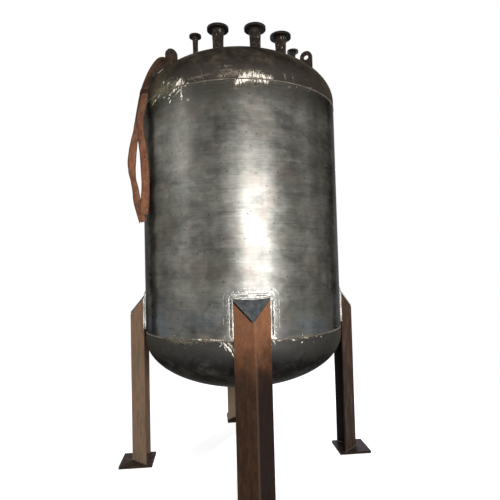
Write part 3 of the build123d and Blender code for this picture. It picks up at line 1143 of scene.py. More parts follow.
@dataclass(frozen=True)
class WeldBead:
    """A bead of overlapping ripples along a joint.

    Attributes:
        width: Width of the bead, in metres.
        height: Full thickness of a ripple, half of it under the surface.
        pitch: Distance from ripple to ripple.
        waver: How far the hand that laid it strayed.
        overlap: Length of a ripple as a share of the pitch.
        taper: How much a ripple narrows over one pitch ahead.
    """

    width: float
    height: float
    pitch: float
    waver: float
    overlap: float = 1.9
    taper: float = 0.16

    def ripple(self, name: str) -> bpy.types.Object:
        """Model one ripple: a squashed lens, steeper on its leading side.

        Args:
            name: Name of the bead.

        Returns:
            The ripple's object, half a pitch ahead of the origin.
        """
        obj = added(bpy.ops.mesh.primitive_uv_sphere_add, name, segments=8, ring_count=5,
                    radius=0.5, location=(self.pitch / 2, 0.0, 0.0),
                    rotation=(0.0, math.pi / 2, 0.0))
        bpy.ops.object.transform_apply(location=False, rotation=True, scale=False)
        bpy.ops.object.mode_set(mode="EDIT")
        bpy.ops.mesh.select_all(action="SELECT")
        bpy.ops.transform.resize(value=(self.pitch * self.overlap, self.width, self.height))
        bpy.ops.object.mode_set(mode="OBJECT")
        bpy.ops.object.transform_apply(location=True, rotation=False, scale=False)
        for corner in obj.data.vertices:
            lead = (corner.co.x - self.pitch / 2) / self.pitch
            corner.co.y *= 1.0 - self.taper * lead
            corner.co.z *= 1.0 - self.taper * lead
        return obj

    def lay(self, name: str, points: list[Vector], closed: bool = False) -> bpy.types.Object:
        """Lay the bead along a line of points.

        Args:
            name: Name of the finished piece.
            points: Middle line of the bead.
            closed: Whether it comes back to its start.

        Returns:
            The bead, as a mesh object in the row's frame.
        """
        route = draw_route(name, points, closed)
        obj = self.ripple(name)
        apply_modifier(obj, "ARRAY", fit_type="FIT_CURVE", curve=route,
                       use_relative_offset=False, use_constant_offset=True,
                       constant_offset_displace=(self.pitch, 0.0, 0.0))
        apply_modifier(obj, "CURVE", object=route, deform_axis="POS_X")
        bpy.data.objects.remove(route)
        for corner in obj.data.vertices:
            drift = noise.noise_vector(corner.co * DRIFTS_PER_METRE) * self.waver
            jolt = noise.noise_vector(corner.co * JOLTS_PER_METRE) * (self.waver * 0.5)
            corner.co = corner.co + drift + jolt
        make_active(obj)
        bpy.ops.object.shade_smooth()
        return obj


def joined(name: str, parts: list[bpy.types.Object]) -> bpy.types.Object:
    """Join meshes into one piece.

    Args:
        name: Name of the piece.
        parts: Mesh objects, the first of which stays.

    Returns:
        The joined object.
    """
    make_active(parts[0])
    for part in parts:
        part.select_set(True)
    bpy.ops.object.join()
    parts[0].name = name
    return parts[0]


def ring(centre: Vector, radius: float, count: int,
         lift: Optional[Callable[[float, float], Vector]] = None) -> list[Vector]:
    """Return points round an upright axis, each lifted onto a surface if one is given.

    Args:
        centre: Middle of the ring.
        radius: Its radius, in metres.
        count: How many points.
        lift: Gives the surface's point over a place in plan.

    Returns:
        The points.
    """
    points = []
    for step in range(count):
        angle = math.tau * step / count
        x = centre.x + radius * math.cos(angle)
        y = centre.y + radius * math.sin(angle)
        points.append(lift(x, y) if lift else Vector((x, y, centre.z)))
    return points


@dataclass
class TankWall:
    """The shell, both ends and their seams.

    Attributes:
        round_bead: Bead of a round seam; its width is measured outwards.
        upright_bead: Bead of the rolled shell's own seam.
        upright_azimuth: Where that seam lies, on the hidden side.
    """

    round_bead: WeldBead = WeldBead(0.0042, 0.0095, 0.0064, 0.0008)
    upright_bead: WeldBead = WeldBead(0.010, 0.010, 0.0064, 0.0007)
    upright_azimuth: float = 140.0

    def dress(self) -> None:
        """Give the shell and the ends their finishes."""
        top = PressedEnd(
            "hot pressed top end", "#231f1c", "#39342f", "#50483e", "#3e3935",
            (UPPER_SEAM, NOZZLE_FACE),
            arcs=((-27.5, 2.462, 66.0, 0.25), (-41.0, 2.450, 80.0, 0.45),
                  (62.0, 2.560, 90.0, 0.1), (150.0, 2.600, 140.0, 0.2)))
        bottom = PressedEnd("hot pressed bottom end", "#141413", "#242322", "#3a3835",
                            "#43423f", (0.0, LOWER_SEAM))
        for name, finish in (("shell", MillScalePlate()), ("top_head", top),
                             ("bottom_head", bottom)):
            set_material(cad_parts[name], finish.build())
        LOG.info("shell and ends dressed")

    def seams(self, metal: bpy.types.Material) -> None:
        """Lay the round seams and the rolled shell's upright one over their solids.

        Args:
            metal: Finish of the beads.
        """
        upright = [place(self.upright_azimuth, SHELL_RADIUS - 0.003,
                         LOWER_SEAM + 0.004 + step * 0.02) for step in range(75)]
        level = {name: ring(Vector((0.0, 0.0, height)), SHELL_RADIUS, 360)
                 for name, height in (("top_seam_weld", UPPER_SEAM),
                                      ("bottom_seam_weld", LOWER_SEAM))}
        for name, line in (*level.items(), ("shell_seam_weld", upright)):
            bead = self.round_bead if name in level else self.upright_bead
            seam = bead.lay(f"{name}_bead", line, closed=name in level)
            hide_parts(name)
            finish_piece(seam, metal)


@dataclass
class LegSet:
    """One leg on each side: pad, angle, cap, base plate and the welds between them.

    Attributes:
        rust: Finish of each side's angle, each with its own painted light and shade.
        pad_bead: Bead round a pad.
        toe_bead: Bead along an angle's toe.
        cap_bead: Bead between a cap and its pad.
        foot_bead: Bead on a base plate.
    """

    # painted light and shade: left leg lighter as lit, right leg darker as in shade, back leg
    # lighter inside
    rust: dict[str, RustedSection] = field(default_factory=lambda: {
        "front": RustedSection(
            "rusted angle of the front leg with painted shade", "#80563d", "#2f1d11", "#8a5a38", 0.7,
            right_flange_shade=0.95, right_shade_tone="#7c6a66", scaled=0.24, olive=0.05,
            fade_top=1.02, fade_foot=0.64),
        "right": RustedSection(
            "rusted angle of the right leg in painted shade", "#3a2820", "#2d2019", "#4a3024", 0.92),
        "back": RustedSection(
            "rusted angle of the back leg with painted light inside", "#7a5d48", "#5c4738", "#8a6448", 0.92,
            inner_shading_tone="#93806c"),
        "left": RustedSection(
            "rusted angle of the left leg in painted light", "#90725a", "#8a705a", "#9b7a56", 0.5,
            scaled=0.18, olive=0.55),
    })
    pad_bead: WeldBead = WeldBead(0.010, 0.010, 0.0066, 0.0010)
    toe_bead: WeldBead = WeldBead(0.0125, 0.0125, 0.0070, 0.0011)
    cap_bead: WeldBead = WeldBead(0.012, 0.012, 0.0072, 0.0014)
    foot_bead: WeldBead = WeldBead(0.009, 0.009, 0.0068, 0.0008)

    def turned(self, side: str, x: float, out: float, height: float) -> Vector:
        """Return a point of a leg's own plan in the row's frame.

        Args:
            side: Which leg.
            x: Metres along the shell from the leg's middle.
            out: Metres from the tank's axis.
            height: Metres over the floor.

        Returns:
            The point.
        """
        angle = math.radians(SIDES[side])
        return Vector((x * math.cos(angle) + out * math.sin(angle),
                       x * math.sin(angle) - out * math.cos(angle), height))

    def dress(self) -> None:
        """Give the legs, pads, caps and base plates their finishes."""
        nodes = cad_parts
        pad = MottledSkin("ground pad plate", "#5b5955", "#7f7d78", "#a6a39c",
                          "#f4f0e6", 0.7, 0.85, 0.32, 16.0, gap_shade=True).build()
        cap = MottledSkin("cap plate with mill scale", "#3d4042", "#4e5051", "#636463",
                          "#96978f", 0.35, 0.5, 0.46, 34.0, cut_edge="#a3a198").build()
        lit = MottledSkin("rusted base plate in the light", "#1e140f", "#30231a", "#463427",
                          "#8c7766", 0.4, 0.05, 0.75).build()
        shaded = MottledSkin("rusted base plate in shade", "#1a120f", "#281c17", "#382a23",
                             "#6d5d52", 0.4, 0.05, 0.75).build()
        for side in SIDES:
            set_material(nodes[f"{side}_leg"], self.rust[side].build())
            set_material(nodes[f"{side}_leg_pad"], pad)
            set_material(nodes[f"{side}_leg_cap"], cap)
            set_material(nodes[f"{side}_base_plate"], shaded if side == "right" else lit)
        LOG.info("legs dressed")

    def pad_line(self, side: str) -> list[Vector]:
        """Return the line of the bead round a pad, on the shell's surface.

        Args:
            side: Which leg.

        Returns:
            The points, which end before they come back to the first.
        """
        off = 0.0025
        half, low, high = PAD_HALF_WIDTH + off, PAD_LOW - off, PAD_HIGH + off
        radius = PAD_CORNER + off
        flat = []
        for x, height, start in ((half - radius, low + radius, -90),
                                 (half - radius, high - radius, 0),
                                 (-half + radius, high - radius, 90),
                                 (-half + radius, low + radius, 180)):
            for step in range(6):
                angle = math.radians(start + 18 * step)
                flat.append((x + radius * math.cos(angle), height + radius * math.sin(angle)))
        out = SHELL_RADIUS + 0.0022
        return [self.turned(side, x, math.sqrt(out * out - x * x), height)
                for x, height in walk(flat, 0.02, closed=True)]

    def toe_line(self, side: str, hand: int) -> list[Vector]:
        """Return the line of the bead between a toe of the angle and the pad.

        Args:
            side: Which leg.
            hand: -1 for the toe on the left, 1 for the other one.

        Returns:
            The points, from below up.
        """
        start = PAD_LOW + 0.004
        steps = int((LEG_TOP + 0.004 - start) / 0.01)
        return [self.turned(side, hand * (LEG_HALF_WIDTH + 0.0022), TOE_Y - 0.0035,
                            start + 0.01 * step) for step in range(steps)]

    def cap_line(self, side: str) -> list[Vector]:
        """Return the line of the bead where a cap meets the curve of its pad.

        Args:
            side: Which leg.

        Returns:
            The points, from left to right.
        """
        out = PAD_RADIUS + 0.002
        points = []
        for step in range(-21, 22):
            x = step * 0.005
            reach = math.sqrt(out * out - x * x)
            points.append(self.turned(
                side, x, reach, LEG_TOP - CAP_SLOPE * (reach - TOE_Y) + 0.003))
        return points

    def foot_lines(self, side: str) -> list[list[Vector]]:
        """Return the lines of the two beads on a base plate, outside and inside the angle.

        Args:
            side: Which leg.

        Returns:
            Both lines.
        """
        height = PLATE_THICKNESS + 0.0015
        wall = LEG_THICKNESS / math.sin(math.radians(45))
        toe_x, toe_y = LEG_HALF_WIDTH - wall * 0.66, TOE_Y - wall * 0.34
        root_y = HEEL_Y - wall - 0.014
        outer = [(-LEG_HALF_WIDTH - 0.001, TOE_Y), (0.0, HEEL_Y + 0.0022 + 0.001),
                 (LEG_HALF_WIDTH + 0.001, TOE_Y)]
        inner = [(-toe_x, toe_y), (-0.012, root_y), (0.012, root_y), (toe_x, toe_y)]
        return [[self.turned(side, x, out, height) for x, out in walk(corners, 0.01)]
                for corners in (outer, inner)]

    def welds(self, bright: bpy.types.Material, dull: bpy.types.Material) -> None:
        """Lay the beads of every leg: round the pad, up the toes, over the cap and at the foot.

        Args:
            bright: Finish of the beads on the tank.
            dull: Finish of the beads at the foot.
        """
        for side in SIDES:
            around = self.pad_bead.lay(f"{side}_pad_bead", self.pad_line(side), closed=True)
            finish_piece(around, bright)
            toes = joined(f"{side}_toe_beads", [
                self.toe_bead.lay(f"{side}_toe_{hand}", self.toe_line(side, hand))
                for hand in (-1, 1)])
            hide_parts(f"{side}_leg_weld")
            finish_piece(toes, bright)
            over = self.cap_bead.lay(f"{side}_cap_bead", self.cap_line(side))
            finish_piece(over, bright)
            feet = joined(f"{side}_foot_beads", [
                self.foot_bead.lay(f"{side}_foot_{number}", line)
                for number, line in enumerate(self.foot_lines(side))])
            finish_piece(feet, dull)


@dataclass(frozen=True)
class NeckShape:
    """Half section of a nozzle's tapered neck: radius and depth under the face, millimetres.

    Attributes:
        outside: Down the outside, the pipe's own radius last.
        hub: The bore's upper end, and up along the flange's own hub.
    """

    outside: tuple[tuple[float, float], ...]
    hub: tuple[tuple[float, float], ...]


@dataclass
class TopFittings:
    """Nozzles, bottom outlet and lifting lugs, with the beads at their feet.

    Attributes:
        large: Neck of a large nozzle and of the outlet.
        small: Neck of a small nozzle.
        nozzle_bead: Bead at a nozzle's foot.
        outlet_bead: Bead round the outlet.
        lug_bead: Bead round a lug.
        toe: How far the middle of a nozzle's bead lies off its pipe, in metres.
        spatter_seed: Seed of the drops of weld metal.
    """

    large: NeckShape = NeckShape(
        ((41.6, 18.3), (40.6, 26.0), (38.8, 42.0), (37.2, 60.0), (35.9, 82.0), (35.0, 108.0)),
        ((26.25, 44.2), (30.4, 44.2), (37.2, 18.3)))
    small: NeckShape = NeckShape(
        ((21.6, 14.3), (20.6, 22.0), (19.0, 36.0), (18.0, 54.0), (17.3, 76.0), (17.0, 100.0)),
        ((10.85, 34.2), (13.6, 34.2), (18.7, 14.3)))
    nozzle_bead: WeldBead = WeldBead(0.009, 0.009, 0.0058, 0.0007)
    outlet_bead: WeldBead = WeldBead(0.009, 0.009, 0.0061, 0.0005)
    lug_bead: WeldBead = WeldBead(0.010, 0.010, 0.0066, 0.0008)
    toe: float = 0.0018
    spatter_seed: int = 41

    def dress(self) -> None:
        """Give the nozzles, the outlet and the lugs their finishes and their necks."""
        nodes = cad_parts
        # painted glints: the neck's tall light rubbed spots
        neck = MottledSkin("black nozzle neck", "#1a1512", "#2a231d", "#3e342b",
                           "#b5afa2", 0.7, 0.35, 0.48, 16.0, rub_and_glint_stretch=2.6).build()
        flange = MottledSkin("forged flange", "#191612", "#24201b", "#37312a",
                             "#8d867b", 0.3, 0.35, 0.46, 22.0).build()
        lug = MottledSkin("flame cut lug plate", "#211b17", "#2f2621", "#45372c",
                          "#80705f", 0.3, 0.15, 0.64, 20.0).build()
        for name in (*LARGE_NOZZLES, *SMALL_NOZZLES, "bottom_outlet"):
            set_material(nodes[f"{name}_flange"], flange)
            self.neck(name, neck)
        for name in LUGS:
            set_material(nodes[name], lug)
        LOG.info("fittings dressed")

    def neck(self, name: str, metal: bpy.types.Material) -> None:
        """Build a nozzle's tapered neck from its flange to the pipe's end, open along its bore.

        Args:
            name: The nozzle's name.
            metal: Finish of the neck.
        """
        low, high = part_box(f"{name}_pipe")
        way = -1 if name == "bottom_outlet" else 1
        face = OUTLET_FACE if way < 0 else NOZZLE_FACE
        foot = abs(face - (high[2] if way < 0 else low[2])) / MM
        shape = self.small if name in SMALL_NOZZLES else self.large
        profile = [*shape.outside, (shape.outside[-1][0], foot), (shape.hub[0][0], foot),
                   *shape.hub, shape.outside[0]]
        x, y = (low[0] + high[0]) / 2, (low[1] + high[1]) / 2
        radius, depth = profile[0]
        obj = added(bpy.ops.mesh.primitive_circle_add, f"{name}_neck", vertices=56,
                    radius=radius * MM, fill_type="NOTHING",
                    location=(x, y, face - way * depth * MM))
        bpy.ops.object.mode_set(mode="EDIT")
        bpy.ops.mesh.select_all(action="SELECT")
        for wide, deep in profile[1:]:
            bpy.ops.mesh.extrude_edges_move(TRANSFORM_OT_translate={
                "value": (0.0, 0.0, -way * (deep - depth) * MM)})
            bpy.ops.transform.resize(value=(wide / radius, wide / radius, 1.0),
                                     center_override=(x, y, face - way * deep * MM))
            radius, depth = wide, deep
        bpy.ops.object.mode_set(mode="OBJECT")
        face_outwards(obj, merge=0.00002)
        bpy.ops.object.transform_apply(location=True, rotation=True, scale=True)
        bpy.ops.object.shade_smooth_by_angle(angle=math.radians(30))
        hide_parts(f"{name}_pipe")
        finish_piece(obj, metal)

    def lug_line(self, azimuth: float) -> list[Vector]:
        """Return the line of the bead round a lug's foot, on the top end.

        Args:
            azimuth: Degrees from the front.

        Returns:
            The points, which end before they come back to the first.
        """
        out, side = place(azimuth, 1.0, 0.0), place(azimuth + 90.0, 1.0, 0.0)
        edge, reach = LUG_HALF_THICKNESS + 0.0022, LUG_HALF_WIDTH + 0.0022
        flat = [(-reach, -edge), (reach, -edge), (reach, edge), (-reach, edge)]
        spots = [out * (LUG_RADIUS + u) + side * v for u, v in walk(flat, 0.007, closed=True)]
        return [on_top_head(spot.x, spot.y) for spot in spots]

    def welds(self, dull: bpy.types.Material) -> None:
        """Lay the beads at the foot of each nozzle, of the outlet and of each lug.

        Args:
            dull: Their finish.
        """
        beads = []
        for names, shape in ((LARGE_NOZZLES, self.large), (SMALL_NOZZLES, self.small)):
            radius = shape.outside[-1][0] * MM + self.toe
            for name, azimuth in names.items():
                centre = place(azimuth, NOZZLE_RADIUS, NOZZLE_FACE)
                beads.append((self.nozzle_bead, f"{name}_foot_bead",
                              ring(centre, radius, 40, on_top_head)))
        apex = Vector((0.0, 0.0, LOWER_SEAM - HEAD_STRAIGHT - HEAD_DEPTH - 0.001))
        radius = self.large.outside[-1][0] * MM + self.toe
        beads.append((self.outlet_bead, "bottom_outlet_bead", ring(apex, radius, 48)))
        beads += [(self.lug_bead, f"{name}_bead", self.lug_line(azimuth))
                  for name, azimuth in LUGS.items()]
        for bead, name, line in beads:
            finish_piece(bead.lay(name, line, closed=True), dull)

    def spatter_seats(self, draw: random.Random) -> list[tuple[Vector, Vector]]:
        """Return where drops of weld metal stick: round the nozzles and along the seams.

        Args:
            draw: Source of the places.

        Returns:
            Each drop's place and the way out of the surface there.
        """
        seats = []
        for azimuth in (*LARGE_NOZZLES.values(), *SMALL_NOZZLES.values()):
            centre = place(azimuth, NOZZLE_RADIUS, 0.0)
            for _ in range(12):
                angle = draw.uniform(0.0, math.tau)
                far = draw.uniform(0.045, 0.085)
                spot = on_top_head(centre.x + far * math.cos(angle),
                                   centre.y + far * math.sin(angle))
                seats.append((spot, Vector((spot.x, spot.y, 3.0 * (spot.z - 2.2))).normalized()))
        for _ in range(150):
            azimuth = draw.uniform(-180.0, 180.0)
            height = draw.choice((LOWER_SEAM, UPPER_SEAM)) + draw.gauss(0.0, 0.026)
            seats.append((place(azimuth, SHELL_RADIUS, height), place(azimuth, 1.0, 0.0)))
        return seats

    def spatter(self, bright: bpy.types.Material) -> None:
        """Scatter drops of weld metal round the joints, all copies of one squashed drop.

        Args:
            bright: Their finish.
        """
        drop = added(bpy.ops.mesh.primitive_ico_sphere_add, "weld_spatter", subdivisions=1,
                     radius=1.0)
        bpy.ops.object.mode_set(mode="EDIT")
        bpy.ops.mesh.select_all(action="SELECT")
        bpy.ops.transform.resize(value=(1.0, 1.0, 0.55))
        bpy.ops.object.mode_set(mode="OBJECT")
        draw = random.Random(self.spatter_seed)
        vertices, faces = [], []
        for spot, out in self.spatter_seats(draw):
            size = draw.uniform(0.0010, 0.0026)
            turn = out.to_track_quat("Z", "Y").to_matrix()
            first = len(vertices)
            vertices += [tuple(spot + turn @ (corner.co * size))
                         for corner in drop.data.vertices]
            faces += [[first + index for index in face.vertices]
                      for face in drop.data.polygons]
        drop.data.clear_geometry()
        drop.data.from_pydata(vertices, [], faces)
        drop.data.update()
        finish_piece(drop, bright)


@dataclass(frozen=True)
class StrapStop:
    """One point of a strap's route, with the strap's turn and width there.

    Attributes:
        azimuth: Degrees from the front.
        radius: Millimetres from the axis.
        height: Millimetres over the floor.
        turn: Degrees that the strap is turned, its inner edge towards the front.
        width: Width there, in millimetres.
    """

    azimuth: float
    radius: float
    height: float
    turn: float
    width: float = 54.0

    def point(self) -> Vector:
        """Return the stop as a point in metres."""
        return place(self.azimuth, self.radius * MM, self.height * MM)


def strap_route(*rows: tuple[float, ...]) -> tuple[StrapStop, ...]:
    """Return the stops of a route from rows of their numbers."""
    return tuple(StrapStop(*row) for row in rows)


@dataclass
class Sling:
    """Flat webbing sling left in the left lug's eye, its two legs hanging down the shell.

    Attributes:
        thickness: Thickness of the webbing in its middle, in metres.
        strips: Faces across its width.
        keeper_height: Height of the band that gathers both legs, in metres.
        keeper_half: Half the band's width across, in metres.
        back_leg: Route of the leg that hangs at the back.
        bight: Route of the loop over the eye.
        front_leg: Route of the leg in front.
    """

    thickness: float = 0.0055
    strips: int = 8
    keeper_height: float = 2.480
    keeper_half: float = 0.0315
    back_leg: tuple[StrapStop, ...] = strap_route(
        (-60.03, 525, 2736, 0, 26), (-64.4, 526.6, 2736, 0, 34), (-66.6, 582, 2724, 0, 48),
        (-67.6, 624, 2654, 6), (-67.2, 667, 2562, 22), (-66.4, 699, 2462, 30),
        (-66.0, 720, 2362, 35), (-66.1, 739, 2272, 46), (-66.1, 750, 2228, 58),
        (-66.0, 763, 2161, 48), (-65.9, 774, 2093, 36), (-66.0, 781, 2028, 24),
        (-66.0, 784, 1965, 46), (-66.1, 776, 1900, 64), (-66.0, 760, 1837, 56),
        (-65.8, 754, 1773, 46), (-65.3, 742, 1709, 50), (-64.6, 722, 1632, 48))
    bight: tuple[StrapStop, ...] = strap_route(
        (-64.0, 574, 2700, 40, 46), (-62.4, 548, 2728, 20, 34), (-61.0, 531, 2747, 0, 30),
        (-59.8, 526, 2752, 0, 30), (-58.2, 530, 2746, 0, 32), (-56.9, 546, 2716, 30, 42),
        (-57.2, 574, 2676, 52, 50), (-58.3, 606, 2642, 60, 52), (-59.5, 634, 2606, 64, 52),
        (-60.6, 655, 2566, 66, 50))
    front_leg: tuple[StrapStop, ...] = strap_route(
        (-59.97, 525, 2736, 0, 26), (-56.4, 530, 2728, 0, 36), (-56.4, 562, 2688, 4, 56),
        (-57.9, 594, 2644, 6, 30), (-59.8, 624, 2601, 10, 14), (-61.7, 650, 2564, 26),
        (-62.6, 670, 2525, 34), (-63.6, 691, 2477, 38), (-63.8, 705, 2423, 36),
        (-63.9, 723, 2341, 42), (-63.8, 734, 2285, 50), (-63.5, 733, 2221, 55),
        (-63.2, 727, 2156, 48), (-63.0, 717, 2092, 41), (-62.8, 712, 2027, 32),
        (-62.8, 710, 1963, 31), (-62.8, 707, 1899, 34), (-63.0, 706, 1835, 30),
        (-63.3, 710, 1771, 12), (-63.5, 714, 1707, 4), (-63.6, 716, 1680, 4))

    def line(self, name: str, stops: tuple[StrapStop, ...]) -> list[Vector]:
        """Return the strap's middle line, read from a smooth spline over its stops.

        Args:
            name: Name of the strap.
            stops: Its route.

        Returns:
            The points of the line.
        """
        route = draw_route(name, [stop.point() for stop in stops], smooth=True)
        mesh = bpy.data.meshes.new_from_object(route)
        points = [corner.co.copy() for corner in mesh.vertices]
        bpy.data.objects.remove(route)
        bpy.data.meshes.remove(mesh)
        return points

    @staticmethod
    def along(points: list[Vector]) -> list[float]:
        """Return how far along the line each point lies.

        Args:
            points: The line.

        Returns:
            The distance of each point from the first, in metres.
        """
        reach = [0.0]
        for before, after in zip(points, points[1:]):
            reach.append(reach[-1] + (after - before).length)
        return reach

    def turns_and_widths(self, stops: tuple[StrapStop, ...],
                         reach: list[float]) -> list[tuple[float, float]]:
        """Return how the strap is turned and how wide it is at each point of its line.

        Args:
            stops: Its route.
            reach: How far along the line each point lies.

        Returns:
            Pairs of the turn in radians and the width in metres.
        """
        knots = self.along([stop.point() for stop in stops])
        values = []
        for far in reach:
            share = far / reach[-1] * knots[-1]
            index = max(k for k in range(len(knots) - 1) if knots[k] <= share + 1e-9)
            part = (share - knots[index]) / (knots[index + 1] - knots[index])
            part = part * part * (3.0 - 2.0 * part)
            first, second = stops[index], stops[index + 1]
            turn = first.turn + (second.turn - first.turn) * part
            width = first.width + (second.width - first.width) * part
            values.append((math.radians(turn), width * MM))
        return values

    @staticmethod
    def clear_of_tank(point: Vector, gap: float) -> Vector:
        """Return the point, pushed out where it would lie in the shell or the top end.

        Args:
            point: A point of the strap.
            gap: Distance that it keeps from the tank, in metres.

        Returns:
            The point itself, or the nearest one outside.
        """
        flat = Vector((point.x, point.y, 0.0))
        base = UPPER_SEAM + HEAD_STRAIGHT
        rise = point.z - base
        wide, tall = SHELL_RADIUS + gap, HEAD_DEPTH + gap
        if rise <= 0.0:
            if flat.length < wide:
                flat = flat.normalized() * wide
                return Vector((flat.x, flat.y, point.z))
            return point
        share = math.sqrt((flat.length / wide) ** 2 + (rise / tall) ** 2)
        if share >= 1.0:
            return point
        return Vector((point.x / share, point.y / share, base + rise / share))

    def strap(self, name: str, stops: tuple[StrapStop, ...],
              seed: int) -> tuple[bpy.types.Object, list[Vector]]:
        """Build one hanging leg as a flat woven strip with round edges.

        Args:
            name: Name of the piece.
            stops: Its route, with turns and widths.
            seed: For the torn threads at its free end.

        Returns:
            The mesh object and the line that it follows.
        """
        points = self.line(name, stops)
        reach = self.along(points)
        draw = random.Random(seed)
        ragged = [draw.uniform(-0.007, 0.004) for _ in range(self.strips + 1)]
        vertices, lay = [], []
        last = len(points) - 1
        for index, (turn, width) in enumerate(self.turns_and_widths(stops, reach)):
            point = points[index]
            ahead = (points[min(index + 1, last)] - points[max(index - 1, 0)]).normalized()
            out = Vector((point.x, point.y, 0.0)).normalized()
            wide = (out - ahead * out.dot(ahead)).normalized()
            wide = Matrix.Rotation(turn, 3, ahead) @ wide
            flat = ahead.cross(wide)
            cup = 0.07 + 0.05 * math.sin(reach[index] * 17.0 + seed)
            for face, gap in ((1, 0.0012), (-1, 0.0014)):
                for step in range(self.strips + 1):
                    share = face * (2.0 * step / self.strips - 1.0)
                    thick = self.thickness / 2 * (1.0 - 0.75 * abs(share) ** 4)
                    spot = point + wide * (share * width / 2) + flat * (face * thick)
                    spot += flat * (cup * width * (share * share - 0.4))
                    if index == last:
                        spot += ahead * ragged[step if face == 1 else self.strips - step]
                    vertices.append(self.clear_of_tank(spot, gap))
                    lay.append(((share + 1.0) / 2, reach[index]))
        return self.woven(name, vertices, lay), points

    def woven(self, name: str, vertices: list[Vector],
              lay: list[tuple[float, float]]) -> bpy.types.Object:
        """Return the strap's mesh over its rings of points, closed at both ends.

        Args:
            name: Name of the piece.
            vertices: The points, ring after ring, each once round the strap.
            lay: Each point's place across and along the strap.

        Returns:
            The mesh object.
        """
        around = 2 * (self.strips + 1)
        rows = [range(start, start + around) for start in range(0, len(vertices), around)]
        faces = [(first[k], first[(k + 1) % around], second[(k + 1) % around], second[k])
                 for first, second in zip(rows, rows[1:]) for k in range(around)]
        for row, way in ((rows[0], -1), (rows[-1], 1)):
            for step in range(self.strips):
                quad = (row[step], row[step + 1], row[around - 2 - step], row[around - 1 - step])
                faces.append(quad[::way])
        data = bpy.data.meshes.new(name)
        data.from_pydata([tuple(spot) for spot in vertices], [], faces)
        layer = data.uv_layers.new(name="strap")
        for loop in data.loops:
            layer.data[loop.index].uv = lay[loop.vertex_index]
        obj = bpy.data.objects.new(name, data)
        bpy.context.collection.objects.link(obj)
        face_outwards(obj)
        bpy.ops.object.shade_smooth()
        return obj

    def keeper(self, lines: list[list[Vector]]) -> bpy.types.Object:
        """Build the dark band that holds both legs together under the shoulder.

        Args:
            lines: Middle lines of the two legs.

        Returns:
            The band's object.
        """
        near = [min(points, key=lambda spot: abs(spot.z - self.keeper_height))
                for points in lines]
        middle = (near[0] + near[1]) / 2
        out = Vector((middle.x, middle.y, 0.0)).normalized()
        side = Vector((-out.y, out.x, 0.0))
        turned = (out * math.cos(0.35) - side * math.sin(0.35)).normalized()
        thin = Vector((-turned.y, turned.x, 0.0))
        half_thin = abs((near[0] - near[1]).dot(thin)) / 2 + 0.0085
        obj = added(bpy.ops.mesh.primitive_cylinder_add, "sling_keeper", vertices=28,
                    radius=1.0, depth=1.0, end_fill_type="NOTHING")
        for corner in obj.data.vertices:
            angle = math.atan2(corner.co.y, corner.co.x)
            cosine, sine = math.cos(angle), math.sin(angle)
            u = math.copysign(abs(cosine) ** 0.5, cosine) * self.keeper_half
            v = math.copysign(abs(sine) ** 0.7, sine) * half_thin
            drop = corner.co.z * 0.026
            corner.co = (middle + turned * u + thin * v + Vector((0.0, 0.0, drop))
                         + out * (-0.25 * drop))
        apply_modifier(obj, "SOLIDIFY", thickness=0.003, offset=0.0)
        apply_modifier(obj, "BEVEL", width=0.0012, segments=2)
        face_outwards(obj)
        bpy.ops.object.shade_smooth()
        return obj

    def build(self) -> None:
        web = Webbing().build()
        # the front strap carries a painted shadow and highlight on its upper ply
        dirty_and_fold_shaded = Webbing("polyester webbing soiled at the shoulder", fold_shading=True).build()
        # the bight's near-black tones are partly grease and partly painted shade
        greasy_and_shaded = Webbing("greasy polyester webbing at the eye",
                         "#1c1510", "#2c221a", "#4a3c2e").build()
        dark = MottledSkin("dark webbing keeper", "#241913", "#33241a", "#4a3526",
                           "#5c4433", 0.3, 0.0, 0.85, 12.0).build()
        back, back_line = self.strap("sling_back_strap", self.back_leg, 5)
        front, front_line = self.strap("sling_front_strap", self.front_leg, 11)
        keeper = self.keeper([back_line, front_line])
        finish_piece(keeper, dark)
        bight = self.strap("sling_bight", self.bight, 3)[0]
        finish_piece(bight, greasy_and_shaded)
        for obj, points, node, stops, finish, pieces in (
                (back, back_line, "sling_back_leg", self.back_leg, web, []),
                (front, front_line, "sling_front_leg", self.front_leg, dirty_and_fold_shaded,
                 [keeper, bight])):
            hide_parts(node)
            finish_piece(obj, finish)
            tuple(stops[0].point())
            round(self.along(points)[-1], 3)
            LOG.info("%s hangs %.3f m", obj.name, self.along(points)[-1])


@dataclass(frozen=True)
class Lamp:
    """A soft rectangular lamp that faces the tank's axis.

    Attributes:
        name: Name of the lamp.
        azimuth: Degrees from the front.
        distance: Metres from the axis.
        height: Metres over the floor.
        size: Width and height of the lamp, in metres.
        power: Watts.
        aim: Height on the axis that it faces, in metres.
        colour: Its sRGB colour.
    """

    name: str
    azimuth: float
    distance: float
    height: float
    size: tuple[float, float]
    power: float
    aim: float
    colour: str

    def hang(self) -> None:
        """Add the lamp to the scene."""
        spot = place(self.azimuth, self.distance, self.height)
        way = Vector((0.0, 0.0, self.aim)) - spot
        light = added(bpy.ops.object.light_add, self.name, type="AREA", location=spot,
                      rotation=way.to_track_quat("-Z", "Y").to_euler()).data
        light.shape = "RECTANGLE"
        light.size, light.size_y = self.size
        light.energy = self.power
        light.color = linear(self.colour)[:3]


